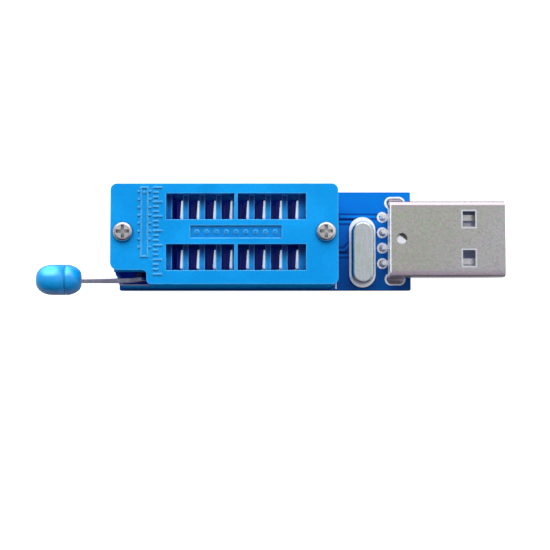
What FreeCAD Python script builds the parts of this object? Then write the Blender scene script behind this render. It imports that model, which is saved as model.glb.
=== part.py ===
import FreeCAD, Part

import Sketcher

import math
import os

# USB stick programmer for small microcontroller and memory chips.
# Frame: origin at the centre of the USB plug's mouth, +X the way the plug goes in, +Y away from the
# lever side, +Z up out of the board. Millimetres. "Left" is -X and "right" is +X; the rear row of
# the socket is the one at +Y, the front row the one at -Y.

V = FreeCAD.Vector
doc = FreeCAD.newDocument("usb_programmer")
sheet = doc.addObject("Spreadsheet::Sheet", "dims")

# ---------------------------------------------------------------- driving dimensions
TABLE = [
    # circuit board
    ("board_top_z", -2.25), ("board_thk", 1.6), ("board_left_x", -61.6), ("board_right_x", -14.65),
    ("board_half_y", 7.95), ("board_corner_rad", 0.15),
    # socket cover
    ("cover_left_x", -61.73), ("cover_right_x", -26.82), ("cover_half_y", 7.75),
    ("cover_corner_rad", 1.0), ("cover_bottom_z", 5.75), ("cover_top_z", 10.25),
    ("cover_plate_z", 7.65), ("cover_wall", 0.92), ("cover_boss_rad", 1.7),
    # socket base
    ("base_inset", 0.1), ("base_corner_rad", 1.3), ("base_foot", 0.3), ("base_floor_z", -0.55),
    ("base_inner_half_y", 6.6), ("base_inner_left_x", -60.95), ("base_inner_right_x", -27.6),
    ("foot_inset_x", 1.6), ("foot_inset_y", 0.8), ("foot_long", 1.6), ("foot_wide", 1.4),
    # ledges below the slider and rails above it
    ("rail_left_x", -52.0), ("rail_right_x", -32.0), ("ledge_wide", 0.55), ("ledge_gap", 0.05),
    ("rail_inner_y", 5.97), ("rail_outer_y", 6.5), ("rail_gap", 0.06),
    # contact rows, windows and the recess between them
    ("socket_mid_y", 0.3), ("row_half_y", 3.81), ("slot_first_x", -51.53), ("slot_pitch", 2.54),
    ("slot_count", 8), ("slot_wide", 1.7), ("window_left_x", -53.2), ("window_right_x", -31.76),
    ("window_half_y", 2.0), ("window_off_y", 3.9), ("window_deep", 1.5), ("mid_rib_x", -42.5),
    ("mid_rib_wide", 0.5), ("label_mid_x", -42.49), ("label_long", 14.0), ("label_wide", 1.9),
    ("label_deep", 0.25), ("mark_high", 0.15), ("mark_mid_x", -56.5),
    # notch for the lever
    ("notch_right_x", -56.15), ("notch_inner_y", -5.56), ("notch_floor_z", 0.95),
    ("notch_wall", 0.6), ("notch_base_shift", 0.06), ("notch_block_inset", 0.7),
    ("notch_outer_rad", 1.2), ("notch_corner_rad", 0.7), ("notch_guard_z", 3.4),
    ("notch_lip_z", 3.1),
    # screws
    ("screw_left_x", -59.78), ("screw_right_x", -28.71), ("screw_head_rad", 1.52),
    ("screw_head_high", 0.75), ("screw_dome_rad", 0.45), ("screw_rad", 0.78),
    ("screw_hole_rad", 0.8), ("screw_clear_rad", 0.9), ("screw_end_z", 1.55),
    ("screw_hole_extra", 0.3), ("pillar_rad", 1.5), ("cross_wide", 0.5), ("cross_long", 2.0),
    ("cross_deep", 0.5),
    # cam shaft and its bearings
    ("pivot_x", -57.6), ("pivot_z", 4.15), ("shaft_rad", 0.8), ("bearing_gap", 0.04),
    ("bearing_half_x", 1.3), ("bearing_outer_y", -2.5), ("bearing_inner_y", -1.9),
    ("keeper_side_gap", 0.02), ("keeper_gap", 0.05), ("cam_base_rad", 1.65),
    ("cam_rise", 0.50930), ("cam_gap", 0.03), ("cam_side_gap", 0.1), ("cam_near_y", -4.2),
    ("cam_far_y", -3.2), ("shaft_outer_y", -6.2), ("shaft_inner_y", -1.95), ("tenon_wide", 1.1),
    ("tenon_outer_y", -7.05),
    # lever blade and knob
    ("blade_out_y", -7.18), ("blade_in_y", -6.6), ("blade_eye_rad", 1.0),
    ("blade_half_high", 0.8), ("tang_half_high", 0.4), ("tang_left_x", -71.5),
    ("tang_right_x", -66.5), ("knob_left_x", -73.87), ("knob_long", 6.87), ("knob_rad", 2.4),
    ("knob_mid_y", -6.67),
    # contact slider
    ("slider_left_x", -54.6), ("slider_right_x", -30.6), ("slider_half_y", 6.52),
    ("slider_bottom_z", 2.15), ("slider_thk", 1.0), ("slider_ear_z", 4.65),
    ("slider_bar_left", 0.40), ("slider_bar_right", 0.10), ("slider_slot_half_y", 1.7),
    ("yoke_outer_y", -4.8), ("yoke_inner_y", -2.62), ("yoke_left_wall", 0.72),
    ("yoke_right_wall", 0.9),
    # contact springs
    ("spring_thk", 0.3), ("spring_half_y", 1.45), ("spring_tail_half_y", 0.3),
    ("spring_tail_gap", 0.03), ("spring_fix_x", 0.5), ("spring_move_x", 0.75),
    ("spring_low_z", -0.45), ("spring_top_z", 8.75), ("spring_tip_z", 7.05),
    ("tail_end_z", -5.45),
    # USB shell and its legs
    ("shell_long", 18.3), ("shell_half_y", 6.0), ("shell_half_z", 2.25), ("shell_sheet", 0.3),
    ("shell_corner_rad", 0.75), ("shell_seam_half_y", 0.03), ("latch_mid_x", -5.75),
    ("latch_long", 2.0), ("latch_wide", 2.5), ("latch_mid_y", 3.1), ("shell_hole_x", -16.4),
    ("shell_hole_rad", 0.85), ("leg_mid_x", -17.15), ("leg_long", 1.6), ("leg_end_z", -5.0),
    ("leg_slot_mid_y", 6.15), ("leg_slot_half_y", 0.6), ("leg_slot_half_x", 1.25),
    ("leg_pad_half_x", 1.6), ("leg_pad_half_y", 1.05), ("leg_pad_thk", 0.35),
    ("leg_dip_deep", 0.5),
    # USB insulator and contacts
    ("tongue_front_x", -0.9), ("tongue_half_y", 5.6), ("tongue_top_z", 0.0),
    ("block_front_x", -13.2), ("block_back_x", -18.0), ("insulator_gap", 0.02),
    ("insulator_corner_rad", 0.5), ("contact_thk", 0.25), ("contact_sunk", 0.1),
    ("contact_half_y", 0.5), ("contact_outer_y", 3.5), ("contact_inner_y", 1.0),
    ("contact_outer_front_x", -1.9), ("contact_inner_front_x", -2.9), ("usb_tail_x", -19.17),
    ("usb_tail_pitch", 2.5), ("usb_tail_mid_y", 0.1), ("usb_tail_half_y", 0.32),
    ("usb_tail_z", -0.9), ("usb_tail_short", 0.35),
    # holes and solder joints
    ("usb_hole_rad", 0.5), ("pin_hole_rad", 0.45), ("joint_rad", 0.75), ("joint_top_rad", 0.42),
    ("joint_high", 0.55), ("joint_low_high", 0.9),
    # crystal
    ("crystal_x", -22.46), ("crystal_y", -1.86), ("crystal_half_x", 1.8), ("crystal_half_y", 5.0),
    ("crystal_high", 3.0), ("can_lean_y", 0.18), ("can_rim_high", 0.25), ("can_top_rad", 0.45),
    ("crystal_wall", 0.2), ("flange_half_x", 2.1), ("flange_half_y", 5.67), ("flange_thk", 0.45),
    ("crystal_gap", 0.1), ("lead_half_y", 2.44), ("lead_rad", 0.215), ("lead_hole_rad", 0.4),
    ("lead_end_z", -5.3), ("lead_stub", 0.2), ("seal_rad", 0.6), ("blank_half_y", 3.3),
    ("blank_high", 1.6), ("blank_thk", 0.2), ("clip_half_x", 0.55), ("clip_half_y", 0.45),
    ("clip_thk", 0.2), ("clip_arm_thk", 0.15), ("clip_arm_half_y", 0.4), ("clip_top", 1.6),
    ("lead_joint_high", 0.8), ("lead_joint_low_rad", 0.3), ("lead_joint_rad", 0.7),
    # interface chip
    ("chip_mid_x", -42.4), ("chip_long", 9.9), ("chip_wide", 3.9), ("chip_thk", 1.35),
    ("chip_gap", 0.1), ("chip_pitch", 1.27), ("chip_lead_count", 8), ("chip_lead_wide", 0.42),
    ("chip_lead_thk", 0.2), ("chip_span_half", 3.0), ("chip_dot_inset", 0.9),
    ("chip_dot_rad", 0.4), ("chip_dot_deep", 0.15),
]


class Size:
    """A number that knows the sheet expression that gives it."""

    def __init__(self, value, text):
        self.value, self.text = float(value), text

    def is_bound(self):
        return "dims." in self.text

    def __add__(self, other):
        other = as_size(other)
        return Size(self.value + other.value, f"({self.text} + {other.text})")

    def __sub__(self, other):
        other = as_size(other)
        return Size(self.value - other.value, f"({self.text} - {other.text})")

    def __mul__(self, other):
        other = as_size(other)
        return Size(self.value * other.value, f"({self.text} * {other.text})")

    def __truediv__(self, other):
        other = as_size(other)
        return Size(self.value / other.value, f"({self.text} / {other.text})")

    def __neg__(self):
        return Size(-self.value, f"(0 - {self.text})")


def as_size(number):
    if isinstance(number, Size):
        return number
    return Size(number, "(%.6f)" % number if number < 0 else "%.6f" % number)


def in_order(first, second):
    return sorted((as_size(first), as_size(second)), key=lambda length: length.value)


class Dimensions:
    """Holds one Size for each alias in the sheet."""


dim = Dimensions()
for line, (alias, value) in enumerate(TABLE, start=1):
    sheet.set(f"A{line}", alias)
    sheet.set(f"B{line}", str(value))
    sheet.setAlias(f"B{line}", alias)
    setattr(dim, alias, Size(value, "dims." + alias))
doc.recompute()


# ---------------------------------------------------------------- sketch outlines
# Each outline function returns a function that draws it, fully held, into a sketch.
def hold(sketch, kind, *where_and_length):
    """Add a dimension; the last argument is its length, bound to the sheet where it can be."""
    *where, length = where_and_length
    number = sketch.addConstraint(Sketcher.Constraint(kind, *where, length.value))
    if length.is_bound():
        sketch.setExpression(f"Constraints[{number}]", length.text)


def pin(sketch, geo, point, x, y):
    """Hold one point at x, y; a plain zero puts it on the axis."""
    for kind, place, axis in (("DistanceX", as_size(x), -2), ("DistanceY", as_size(y), -1)):
        if not place.is_bound() and abs(place.value) < 1e-9:
            sketch.addConstraint(Sketcher.Constraint("PointOnObject", geo, point, axis))
        else:
            hold(sketch, kind, -1, 1, geo, point, place)


def add_closed_lines(sketch, corners):
    first = sketch.GeometryCount
    count = len(corners)
    for i in range(count):
        (ax, ay), (bx, by) = corners[i], corners[(i + 1) % count]
        line = Part.LineSegment(V(ax.value, ay.value, 0), V(bx.value, by.value, 0))
        sketch.addGeometry(line, False)
    for i in range(count):
        after = first + (i + 1) % count
        sketch.addConstraint(Sketcher.Constraint("Coincident", first + i, 2, after, 1))
    return first


def rect(x0, x1, y0, y1):
    x0, x1, y0, y1 = (as_size(place) for place in (x0, x1, y0, y1))

    def draw(sketch):
        first = add_closed_lines(sketch, [(x0, y0), (x1, y0), (x1, y1), (x0, y1)])
        for i, kind in enumerate(("Horizontal", "Vertical", "Horizontal", "Vertical")):
            sketch.addConstraint(Sketcher.Constraint(kind, first + i))
        pin(sketch, first, 1, x0, y0)
        pin(sketch, first + 2, 1, x1, y1)
    return draw


def band(x0, x1, mid_y, half_y):
    """A rectangle given by its ends in X and its middle and half width in Y."""
    return rect(x0, x1, mid_y - half_y, mid_y + half_y)


def poly(*points):
    points = [(as_size(x), as_size(y)) for x, y in points]

    def draw(sketch):
        first = add_closed_lines(sketch, points)
        for i, (x, y) in enumerate(points):
            pin(sketch, first + i, 1, x, y)
    return draw


def disc(x, y, radius):
    x, y, radius = as_size(x), as_size(y), as_size(radius)

    def draw(sketch):
        circle = Part.Circle(V(x.value, y.value, 0), V(0, 0, 1), radius.value)
        geo = sketch.addGeometry(circle, False)
        hold(sketch, "Radius", geo, radius)
        pin(sketch, geo, 3, x, y)
    return draw


def stadium(x, y, half_long, radius, along):
    """Two half circles joined by straight sides; half_long is to the arc centres."""
    if along == "y":
        start, ends = 0.0, ((x, y + half_long), (x, y - half_long))
    else:
        start, ends = -math.pi / 2, ((x + half_long, y), (x - half_long, y))

    def draw(sketch):
        arcs = []
        for i, (end_x, end_y) in enumerate(ends):
            circle = Part.Circle(V(end_x.value, end_y.value, 0), V(0, 0, 1), radius.value)
            angle = start + math.pi * i
            arcs.append(Part.ArcOfCircle(circle, angle, angle + math.pi))
        arc_a, arc_b = arcs
        geo_a = sketch.addGeometry(arc_a, False)
        geo_b = sketch.addGeometry(arc_b, False)
        side_a = sketch.addGeometry(Part.LineSegment(arc_a.EndPoint, arc_b.StartPoint), False)
        side_b = sketch.addGeometry(Part.LineSegment(arc_b.EndPoint, arc_a.StartPoint), False)
        loop = (geo_a, side_a, geo_b, side_b)
        for i in range(4):
            joint = Sketcher.Constraint("Tangent", loop[i], 2, loop[(i + 1) % 4], 1)
            sketch.addConstraint(joint)
        hold(sketch, "Radius", geo_a, radius)
        pin(sketch, geo_a, 3, *ends[0])
        pin(sketch, geo_b, 3, *ends[1])
    return draw


# ---------------------------------------------------------------- PartDesign bodies
def upright(longer_than):
    """Edge test: straight up, and longer than the given length."""
    return lambda b: b.ZLength > longer_than and b.XLength < 0.01 and b.YLength < 0.01


def lengthwise(b):
    """Edge test: along X, and long."""
    return b.XLength > 10 and b.YLength < 0.01 and b.ZLength < 0.01


class BodyBuilder:
    """One PartDesign body, built from sketches on its own origin planes."""

    def __init__(self, label):
        self.body = doc.addObject("PartDesign::Body", label)
        self.body.Label = label
        self.label = label
        self.count = 0

    def new(self, kind, what):
        self.count += 1
        return self.body.newObject(kind, f"{self.label}_{what}_{self.count}")

    def origin(self, role):
        return next(f for f in self.body.Origin.OriginFeatures if f.Role == role)

    def sketch(self, role, level, outlines):
        """role XY: level is Z; XZ: level is Y; YZ: level is X."""
        sketch = self.new("Sketcher::SketchObject", "sketch")
        sketch.AttachmentSupport = [(self.origin(role + "_Plane"), "")]
        sketch.MapMode = "FlatFace"
        if role == "XZ":  # this plane faces -Y
            level = -level
        sketch.setExpression("AttachmentOffset.Base.z", level.text)
        sketch.AttachmentOffset = FreeCAD.Placement(V(0, 0, level.value), FreeCAD.Rotation())
        for draw in outlines:
            draw(sketch)
        doc.recompute()
        return sketch

    def extrude(self, what, role, level, length, outlines):
        profile = self.sketch(role, level, outlines)
        feature = self.new("PartDesign::" + what.capitalize(), what)
        feature.Profile = profile
        feature.Length = length.value
        feature.setExpression("Length", length.text)
        doc.recompute()
        return feature

    def pad(self, role, start, end, *outlines):
        """Solid between the levels start and end along the plane's axis."""
        low, high = in_order(start, end)
        return self.extrude("pad", role, high if role == "XZ" else low, high - low, outlines)

    def pocket(self, role, start, end, *outlines):
        """Cut between the levels start and end along the plane's axis."""
        before = self.body.Shape.Volume
        low, high = in_order(start, end)
        level = low if role == "XZ" else high
        feature = self.extrude("pocket", role, level, high - low, outlines)
        if not self.body.Shape.Volume < before - 1e-6:
            raise RuntimeError(f"{feature.Name} cuts nothing")
        return feature

    def row(self, features, spacing, count):
        """Repeat features along +X."""
        before = self.body.Shape.Volume
        feature = self.new("PartDesign::LinearPattern", "pattern")
        feature.Originals = features
        feature.Direction = (self.origin("X_Axis"), [""])
        feature.Mode = "Spacing"
        feature.Offset = spacing.value
        feature.setExpression("Offset", spacing.text)
        feature.Occurrences = int(count.value)
        feature.setExpression("Occurrences", count.text)
        self.body.Tip = feature
        doc.recompute()
        if abs(self.body.Shape.Volume - before) < 1e-6:
            raise RuntimeError(f"{feature.Name} changes nothing")

    def fillet(self, radius, test):
        """Round the edges whose bounding box passes the test."""
        tip = self.body.Tip
        names = [f"Edge{i}" for i, edge in enumerate(tip.Shape.Edges, 1) if test(edge.BoundBox)]
        if not names:
            raise RuntimeError(f"{self.label} has no edges to round")
        feature = self.new("PartDesign::Fillet", "fillet")
        feature.Base = (tip, names)
        feature.Radius = radius.value
        feature.setExpression("Radius", radius.text)
        doc.recompute()


# ---------------------------------------------------------------- Part solids and booleans
def primitive(kind, name, corner, sizes):
    """A Part primitive placed at corner, with its properties bound to the sheet."""
    solid = doc.addObject("Part::" + kind, name)
    for key, length in sizes.items():
        setattr(solid, key, length.value)
        solid.setExpression(key, length.text)
    solid.Placement.Base = V(*(place.value for place in corner))
    for axis, place in zip("xyz", corner):
        solid.setExpression("Placement.Base." + axis, place.text)
    return solid


def box(name, x0, x1, y0, y1, z0, z1):
    x0, x1, y0, y1, z0, z1 = (as_size(place) for place in (x0, x1, y0, y1, z0, z1))
    sizes = {"Length": x1 - x0, "Width": y1 - y0, "Height": z1 - z0}
    return primitive("Box", name, (x0, y0, z0), sizes)


def rod(name, x, y, z0, z1, radius):
    x, y, z0, z1 = (as_size(place) for place in (x, y, z0, z1))
    return primitive("Cylinder", name, (x, y, z0), {"Radius": radius, "Height": z1 - z0})


def cone(name, x, y, z0, z1, low_rad, high_rad):
    sizes = {"Radius1": low_rad, "Radius2": high_rad, "Height": z1 - z0}
    return primitive("Cone", name, (x, y, z0), sizes)


def join(name, parts):
    fused = doc.addObject("Part::MultiFuse", name)
    fused.Shapes = parts
    fused.Refine = True
    return fused


def group(name, parts):
    compound = doc.addObject("Part::Compound", name)
    compound.Links = parts
    return compound


def boolean(kind, name, base, tool):
    result = doc.addObject("Part::" + kind, name)
    result.Base, result.Tool = base, tool
    return result


def cut(name, base, tool):
    return boolean("Cut", name, base, tool)


# ---------------------------------------------------------------- shared places
# How far a pad sinks into its neighbour, or a cut runs past the face it opens.
SLIVER, SINK, OVERLAP, CLEAR, BEYOND = 0.01, 0.05, 0.1, 0.5, 1.0
SIDES = (1, -1)

BOARD_TOP = dim.board_top_z
BOARD_BOTTOM = BOARD_TOP - dim.board_thk

MID_Y = dim.socket_mid_y
ROWS = {"rear": MID_Y + dim.row_half_y, "front": MID_Y - dim.row_half_y}
FIRST_X = dim.slot_first_x
PITCH = dim.slot_pitch
TAIL_X = FIRST_X + dim.spring_fix_x + dim.spring_thk / 2
SCREWS = {"left": dim.screw_left_x, "right": dim.screw_right_x}

SPLIT_Z = dim.cover_bottom_z
COVER_TOP = dim.cover_top_z
NOTCH_X = dim.notch_right_x
NOTCH_Y = dim.notch_inner_y
BASE_NOTCH_Y = NOTCH_Y + dim.notch_base_shift

PIVOT_X, PIVOT_Z = dim.pivot_x, dim.pivot_z
TENON_HALF = dim.tenon_wide / 2

USB_TAIL_X = dim.usb_tail_x
USB_TAIL_YS = [dim.usb_tail_mid_y + dim.usb_tail_pitch * k for k in (1.5, 0.5, -0.5, -1.5)]

CRYSTAL_X, CRYSTAL_Y = dim.crystal_x, dim.crystal_y
LEAD_YS = [CRYSTAL_Y + dim.lead_half_y, CRYSTAL_Y - dim.lead_half_y]
FLANGE_BOTTOM = BOARD_TOP + dim.crystal_gap
FLANGE_TOP = FLANGE_BOTTOM + dim.flange_thk


def screw_discs(radius):
    return [disc(x, MID_Y, radius) for x in SCREWS.values()]


def leg_stadiums(half_long, radius):
    return [stadium(dim.leg_mid_x, dim.leg_slot_mid_y * s, half_long, radius, "x")
            for s in SIDES]


# ---------------------------------------------------------------- circuit board, with its holes
def build_circuit_board():
    board = BodyBuilder("circuit_board")
    half_y = dim.board_half_y
    board.pad("XY", BOARD_BOTTOM, BOARD_TOP,
              rect(dim.board_left_x, dim.board_right_x, -half_y, half_y))
    board.fillet(dim.board_corner_rad, upright(1))
    holes = board.pocket("XY", BOARD_TOP, BOARD_BOTTOM,
                         *[disc(TAIL_X, y, dim.pin_hole_rad) for y in ROWS.values()])
    board.row([holes], PITCH, dim.slot_count)
    slot_rad = dim.leg_slot_half_y
    board.pocket(
        "XY", BOARD_TOP, BOARD_BOTTOM,
        *[disc(USB_TAIL_X, y, dim.usb_hole_rad) for y in USB_TAIL_YS],
        *[disc(CRYSTAL_X, y, dim.lead_hole_rad) for y in LEAD_YS],
        *leg_stadiums(dim.leg_slot_half_x - slot_rad, slot_rad),
    )
    return board.body


# ---------------------------------------------------------------- socket base
BASE_BOTTOM = BOARD_TOP + dim.base_foot
BASE_LEFT = dim.cover_left_x + dim.base_inset
BASE_RIGHT = dim.cover_right_x - dim.base_inset
BASE_HALF_Y = dim.cover_half_y - dim.base_inset

# Curved wall at the open corner of the notch: X from the base's left side, Y.
NOTCH_GUARD = [
    (0.0, BASE_NOTCH_Y), (0.0, -5.75), (0.12, -6.02), (0.40, -6.24), (0.85, -6.34),
    (0.85, -6.08), (0.60, -5.95), (0.50, -5.75), (0.50, BASE_NOTCH_Y),
]
# Low lip along the outer side of the notch, outside the lever: X, Y.
NOTCH_LIP = [
    (-60.33, -7.64), (NOTCH_X + OVERLAP, -7.64), (NOTCH_X + OVERLAP, -7.33), (-60.40, -7.33),
    (-60.80, -7.24), (-60.93, -7.46), (-60.65, -7.58),
]


def build_socket_base():
    base = BodyBuilder("socket_base")
    floor, inner_y = dim.base_floor_z, dim.base_inner_half_y
    base.pad("XY", BASE_BOTTOM, SPLIT_Z, rect(BASE_LEFT, BASE_RIGHT, -BASE_HALF_Y, BASE_HALF_Y))
    base.fillet(dim.base_corner_rad, upright(5))
    base.pocket("XY", SPLIT_Z, floor,
                rect(dim.base_inner_left_x, dim.base_inner_right_x, -inner_y, inner_y))

    # screw pillars, ledges under the slider, inner bearing rib
    base.pad("XY", floor, SPLIT_Z, *screw_discs(dim.pillar_rad))
    left, right = dim.rail_left_x, dim.rail_right_x
    into_wall = 0.2
    base.pad("XY", floor, dim.slider_bottom_z - dim.ledge_gap,
             rect(left, right, inner_y - dim.ledge_wide, inner_y + into_wall),
             rect(left, right, -inner_y - into_wall, -inner_y + dim.ledge_wide))
    base.pad("XY", floor, SPLIT_Z,
             rect(PIVOT_X - dim.bearing_half_x, PIVOT_X + dim.bearing_half_x,
                  dim.bearing_outer_y, dim.bearing_inner_y))

    # block that the lever notch is cut from, then the low walls in the notch
    inset = dim.notch_block_inset
    base.pad("XY", floor, SPLIT_Z,
             rect(BASE_LEFT + inset, NOTCH_X + dim.notch_wall,
                  -BASE_HALF_Y + inset, BASE_NOTCH_Y + dim.notch_wall))
    base.pocket("XY", SPLIT_Z, dim.notch_floor_z,
                rect(BASE_LEFT - BEYOND, NOTCH_X, -BASE_HALF_Y - BEYOND, BASE_NOTCH_Y))
    wall_foot = dim.notch_floor_z - OVERLAP
    base.pad("XY", wall_foot, dim.notch_guard_z,
             poly(*[(BASE_LEFT + x, y) for x, y in NOTCH_GUARD]))
    base.pad("XY", wall_foot, dim.notch_lip_z, poly(*NOTCH_LIP))

    # U slots that carry the cam shaft, open at the top, closed by tongues on the cover
    bore = dim.shaft_rad + dim.bearing_gap
    for y0, y1 in ((NOTCH_Y - OVERLAP, NOTCH_Y + dim.notch_wall + 2 * OVERLAP),
                   (dim.bearing_outer_y - OVERLAP, dim.bearing_inner_y + OVERLAP)):
        base.pocket("XZ", y0, y1, rect(PIVOT_X - bore, PIVOT_X + bore, PIVOT_Z, SPLIT_Z + CLEAR))
        base.pocket("XZ", y0, y1, disc(PIVOT_X, PIVOT_Z, bore))

    # pilot holes for the two screws
    base.pocket("XY", SPLIT_Z, dim.screw_end_z - dim.screw_hole_extra,
                *screw_discs(dim.screw_hole_rad))

    # slots in the floor for the tails of the contact springs
    half_x = dim.spring_thk / 2 + dim.spring_tail_gap
    half_y = dim.spring_tail_half_y + dim.spring_tail_gap
    tails = base.pocket("XY", floor, BASE_BOTTOM - SLIVER,
                        *[band(TAIL_X - half_x, TAIL_X + half_x, y, half_y)
                          for y in ROWS.values()])
    base.row([tails], PITCH, dim.slot_count)

    # four feet that stand on the board
    foot_xs = (BASE_LEFT + dim.foot_inset_x, BASE_RIGHT - dim.foot_inset_x - dim.foot_long)
    foot_ys = (BASE_HALF_Y - dim.foot_inset_y - dim.foot_wide, -BASE_HALF_Y + dim.foot_inset_y)
    base.pad("XY", BOARD_TOP, BASE_BOTTOM + SINK,
             *[rect(x, x + dim.foot_long, y, y + dim.foot_wide)
               for y in foot_ys for x in foot_xs])
    return base.body


# ---------------------------------------------------------------- socket cover
def build_socket_cover():
    cover = BodyBuilder("socket_cover")
    left, right, half_y = dim.cover_left_x, dim.cover_right_x, dim.cover_half_y
    plate, wall = dim.cover_plate_z, dim.cover_wall
    cover.pad("XY", SPLIT_Z, COVER_TOP, rect(left, right, -half_y, half_y))
    cover.fillet(dim.cover_corner_rad, upright(4))
    cover.pocket("XY", plate, SPLIT_Z - SLIVER,
                 rect(left + wall, right - wall, -half_y + wall, half_y - wall))

    # bosses under the screws, hold-down rails over the slider
    into_plate = plate + OVERLAP
    cover.pad("XY", SPLIT_Z, into_plate, *screw_discs(dim.cover_boss_rad))
    rail_bottom = dim.slider_bottom_z + dim.slider_thk + dim.rail_gap
    rail_x = (dim.rail_left_x, dim.rail_right_x)
    cover.pad("XY", rail_bottom, into_plate,
              rect(*rail_x, dim.rail_inner_y, dim.rail_outer_y),
              rect(*rail_x, -dim.rail_outer_y, -dim.rail_inner_y))

    # block round the notch, tongues over the cam shaft, then the notch itself
    inset = dim.notch_block_inset
    cover.pad("XY", SPLIT_Z, into_plate,
              rect(left + inset, NOTCH_X + dim.notch_wall + OVERLAP,
                   -half_y + inset, NOTCH_Y + dim.notch_wall + OVERLAP))
    tongue = dim.shaft_rad - dim.keeper_side_gap
    tongue_x = (PIVOT_X - tongue, PIVOT_X + tongue)
    cover.pad("XY", PIVOT_Z + dim.shaft_rad + dim.keeper_gap, into_plate,
              rect(*tongue_x, BASE_NOTCH_Y, BASE_NOTCH_Y + dim.notch_wall),
              rect(*tongue_x, dim.bearing_outer_y, dim.bearing_inner_y))
    cover.pocket("XY", COVER_TOP + OVERLAP, SPLIT_Z - OVERLAP,
                 rect(left - BEYOND, NOTCH_X, -half_y - BEYOND, NOTCH_Y))

    def notch_edges(edge_x, *edge_ys):
        def test(b):
            return (upright(4)(b) and abs(b.XMin - edge_x.value) < 0.02
                    and any(abs(b.YMin - y.value) < 0.02 for y in edge_ys))
        return test

    cover.fillet(dim.notch_outer_rad, notch_edges(left, NOTCH_Y))
    cover.fillet(dim.notch_corner_rad, notch_edges(NOTCH_X, NOTCH_Y, -half_y))
    cut_windows(cover)

    # recess between the windows, and the clearance holes of the screws
    label_x, label_half = dim.label_mid_x, dim.label_long / 2
    cover.pocket("XY", COVER_TOP, COVER_TOP - dim.label_deep,
                 band(label_x - label_half, label_x + label_half, MID_Y, dim.label_wide / 2))
    cover.pocket("XY", COVER_TOP + OVERLAP, SPLIT_Z - OVERLAP,
                 *screw_discs(dim.screw_clear_rad))
    add_marks(cover)
    return cover.body


def cut_windows(cover):
    """Two windows with a recessed grille of slots, and a full-height rib across each middle."""
    mid_ys = (MID_Y + dim.window_off_y, MID_Y - dim.window_off_y)
    half_y = dim.window_half_y
    grille = COVER_TOP - dim.window_deep
    cover.pocket("XY", COVER_TOP, grille,
                 *[band(dim.window_left_x, dim.window_right_x, y, half_y) for y in mid_ys])
    slot_half = dim.slot_wide / 2
    slots = cover.pocket("XY", grille, dim.cover_plate_z - OVERLAP,
                         *[band(FIRST_X - slot_half, FIRST_X + slot_half, y, half_y)
                           for y in mid_ys])
    cover.row([slots], PITCH, dim.slot_count)
    rib_x, rib_half = dim.mid_rib_x, dim.mid_rib_wide / 2
    cover.pad("XY", grille - 2 * OVERLAP, COVER_TOP,
              *[band(rib_x - rib_half, rib_x + rib_half, y, half_y + OVERLAP)
                for y in mid_ys])


def add_marks(cover):
    """Raised marks: a two-row chip and a row of scale ticks by the lever, dots in the recess."""
    mid_x = dim.mark_mid_x

    def raise_mark(*outlines):
        cover.pad("XY", COVER_TOP - SINK, COVER_TOP + dim.mark_high, *outlines)

    # outline of the chip: two long sides, then its two ends
    inner, outer = 0.40, 0.62
    low_y, high_y = -3.6, 7.2
    line = outer - inner
    raise_mark(rect(mid_x - outer, mid_x - inner, low_y, high_y),
               rect(mid_x + inner, mid_x + outer, low_y, high_y))
    reach = inner + SINK
    raise_mark(rect(mid_x - reach, mid_x + reach, high_y - line, high_y),
               rect(mid_x - reach, mid_x + reach, low_y, low_y + line))

    # its pins, and a dot at its +Y end
    pin_first_y, pin_pitch, pin_half = 6.5, 1.22, 0.14
    pin_in, pin_out = 0.55, 1.0
    pins = []
    for k in range(8):
        y = pin_first_y - pin_pitch * k
        pins += [band(mid_x - pin_out, mid_x - pin_in, y, pin_half),
                 band(mid_x + pin_in, mid_x + pin_out, y, pin_half)]
    raise_mark(*pins)
    dot_y, dot_rad = 6.35, 0.2
    raise_mark(disc(mid_x, dot_y, dot_rad))

    # scale, every third tick long
    scale_x, scale_first_y, scale_pitch, scale_half = -55.15, 7.1, 0.74, 0.12
    long_tick, short_tick = 1.36, 0.8
    ticks = []
    for k in range(19):
        tick = long_tick if k % 3 == 0 else short_tick
        ticks.append(band(scale_x, scale_x + tick, scale_first_y - scale_pitch * k, scale_half))
    raise_mark(*ticks)

    # nine low dots along the recess
    recess_dot_pitch, recess_dot_rad, recess_dot_high = 1.5, 0.33, 0.12
    recess_floor = COVER_TOP - dim.label_deep
    cover.pad("XY", recess_floor - SINK, recess_floor + recess_dot_high,
              *[disc(dim.label_mid_x + recess_dot_pitch * (k - 4), MID_Y, recess_dot_rad)
                for k in range(9)])


# ---------------------------------------------------------------- cover screws
def build_cover_screws():
    head_top = COVER_TOP + dim.screw_head_high
    half_long, half_wide = dim.cross_long / 2, dim.cross_wide / 2
    screws = []
    for tag, x in SCREWS.items():
        head = rod("screw_head_" + tag, x, MID_Y, COVER_TOP, head_top, dim.screw_head_rad)
        doc.recompute()
        rim = next(i for i, edge in enumerate(head.Shape.Edges, 1)
                   if edge.BoundBox.ZLength < 0.01
                   and abs(edge.BoundBox.ZMin - head_top.value) < 0.01)
        dome = doc.addObject("Part::Fillet", "screw_dome_" + tag)
        dome.Base = head
        dome.Edges = [(rim, dim.screw_dome_rad.value, dim.screw_dome_rad.value)]
        shank = rod("screw_shank_" + tag, x, MID_Y, dim.screw_end_z, COVER_TOP + OVERLAP,
                    dim.screw_rad)
        body = join("screw_body_" + tag, [dome, shank])
        bars = [box(f"screw_cross_{bar}_{tag}", x - half_x, x + half_x, MID_Y - half_y,
                    MID_Y + half_y, head_top - dim.cross_deep, head_top + CLEAR)
                for bar, half_x, half_y in (("a", half_long, half_wide),
                                            ("b", half_wide, half_long))]
        screws.append(cut("screw_" + tag, body, join("screw_cross_" + tag, bars)))
    return group("cover_screws", screws)


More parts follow.
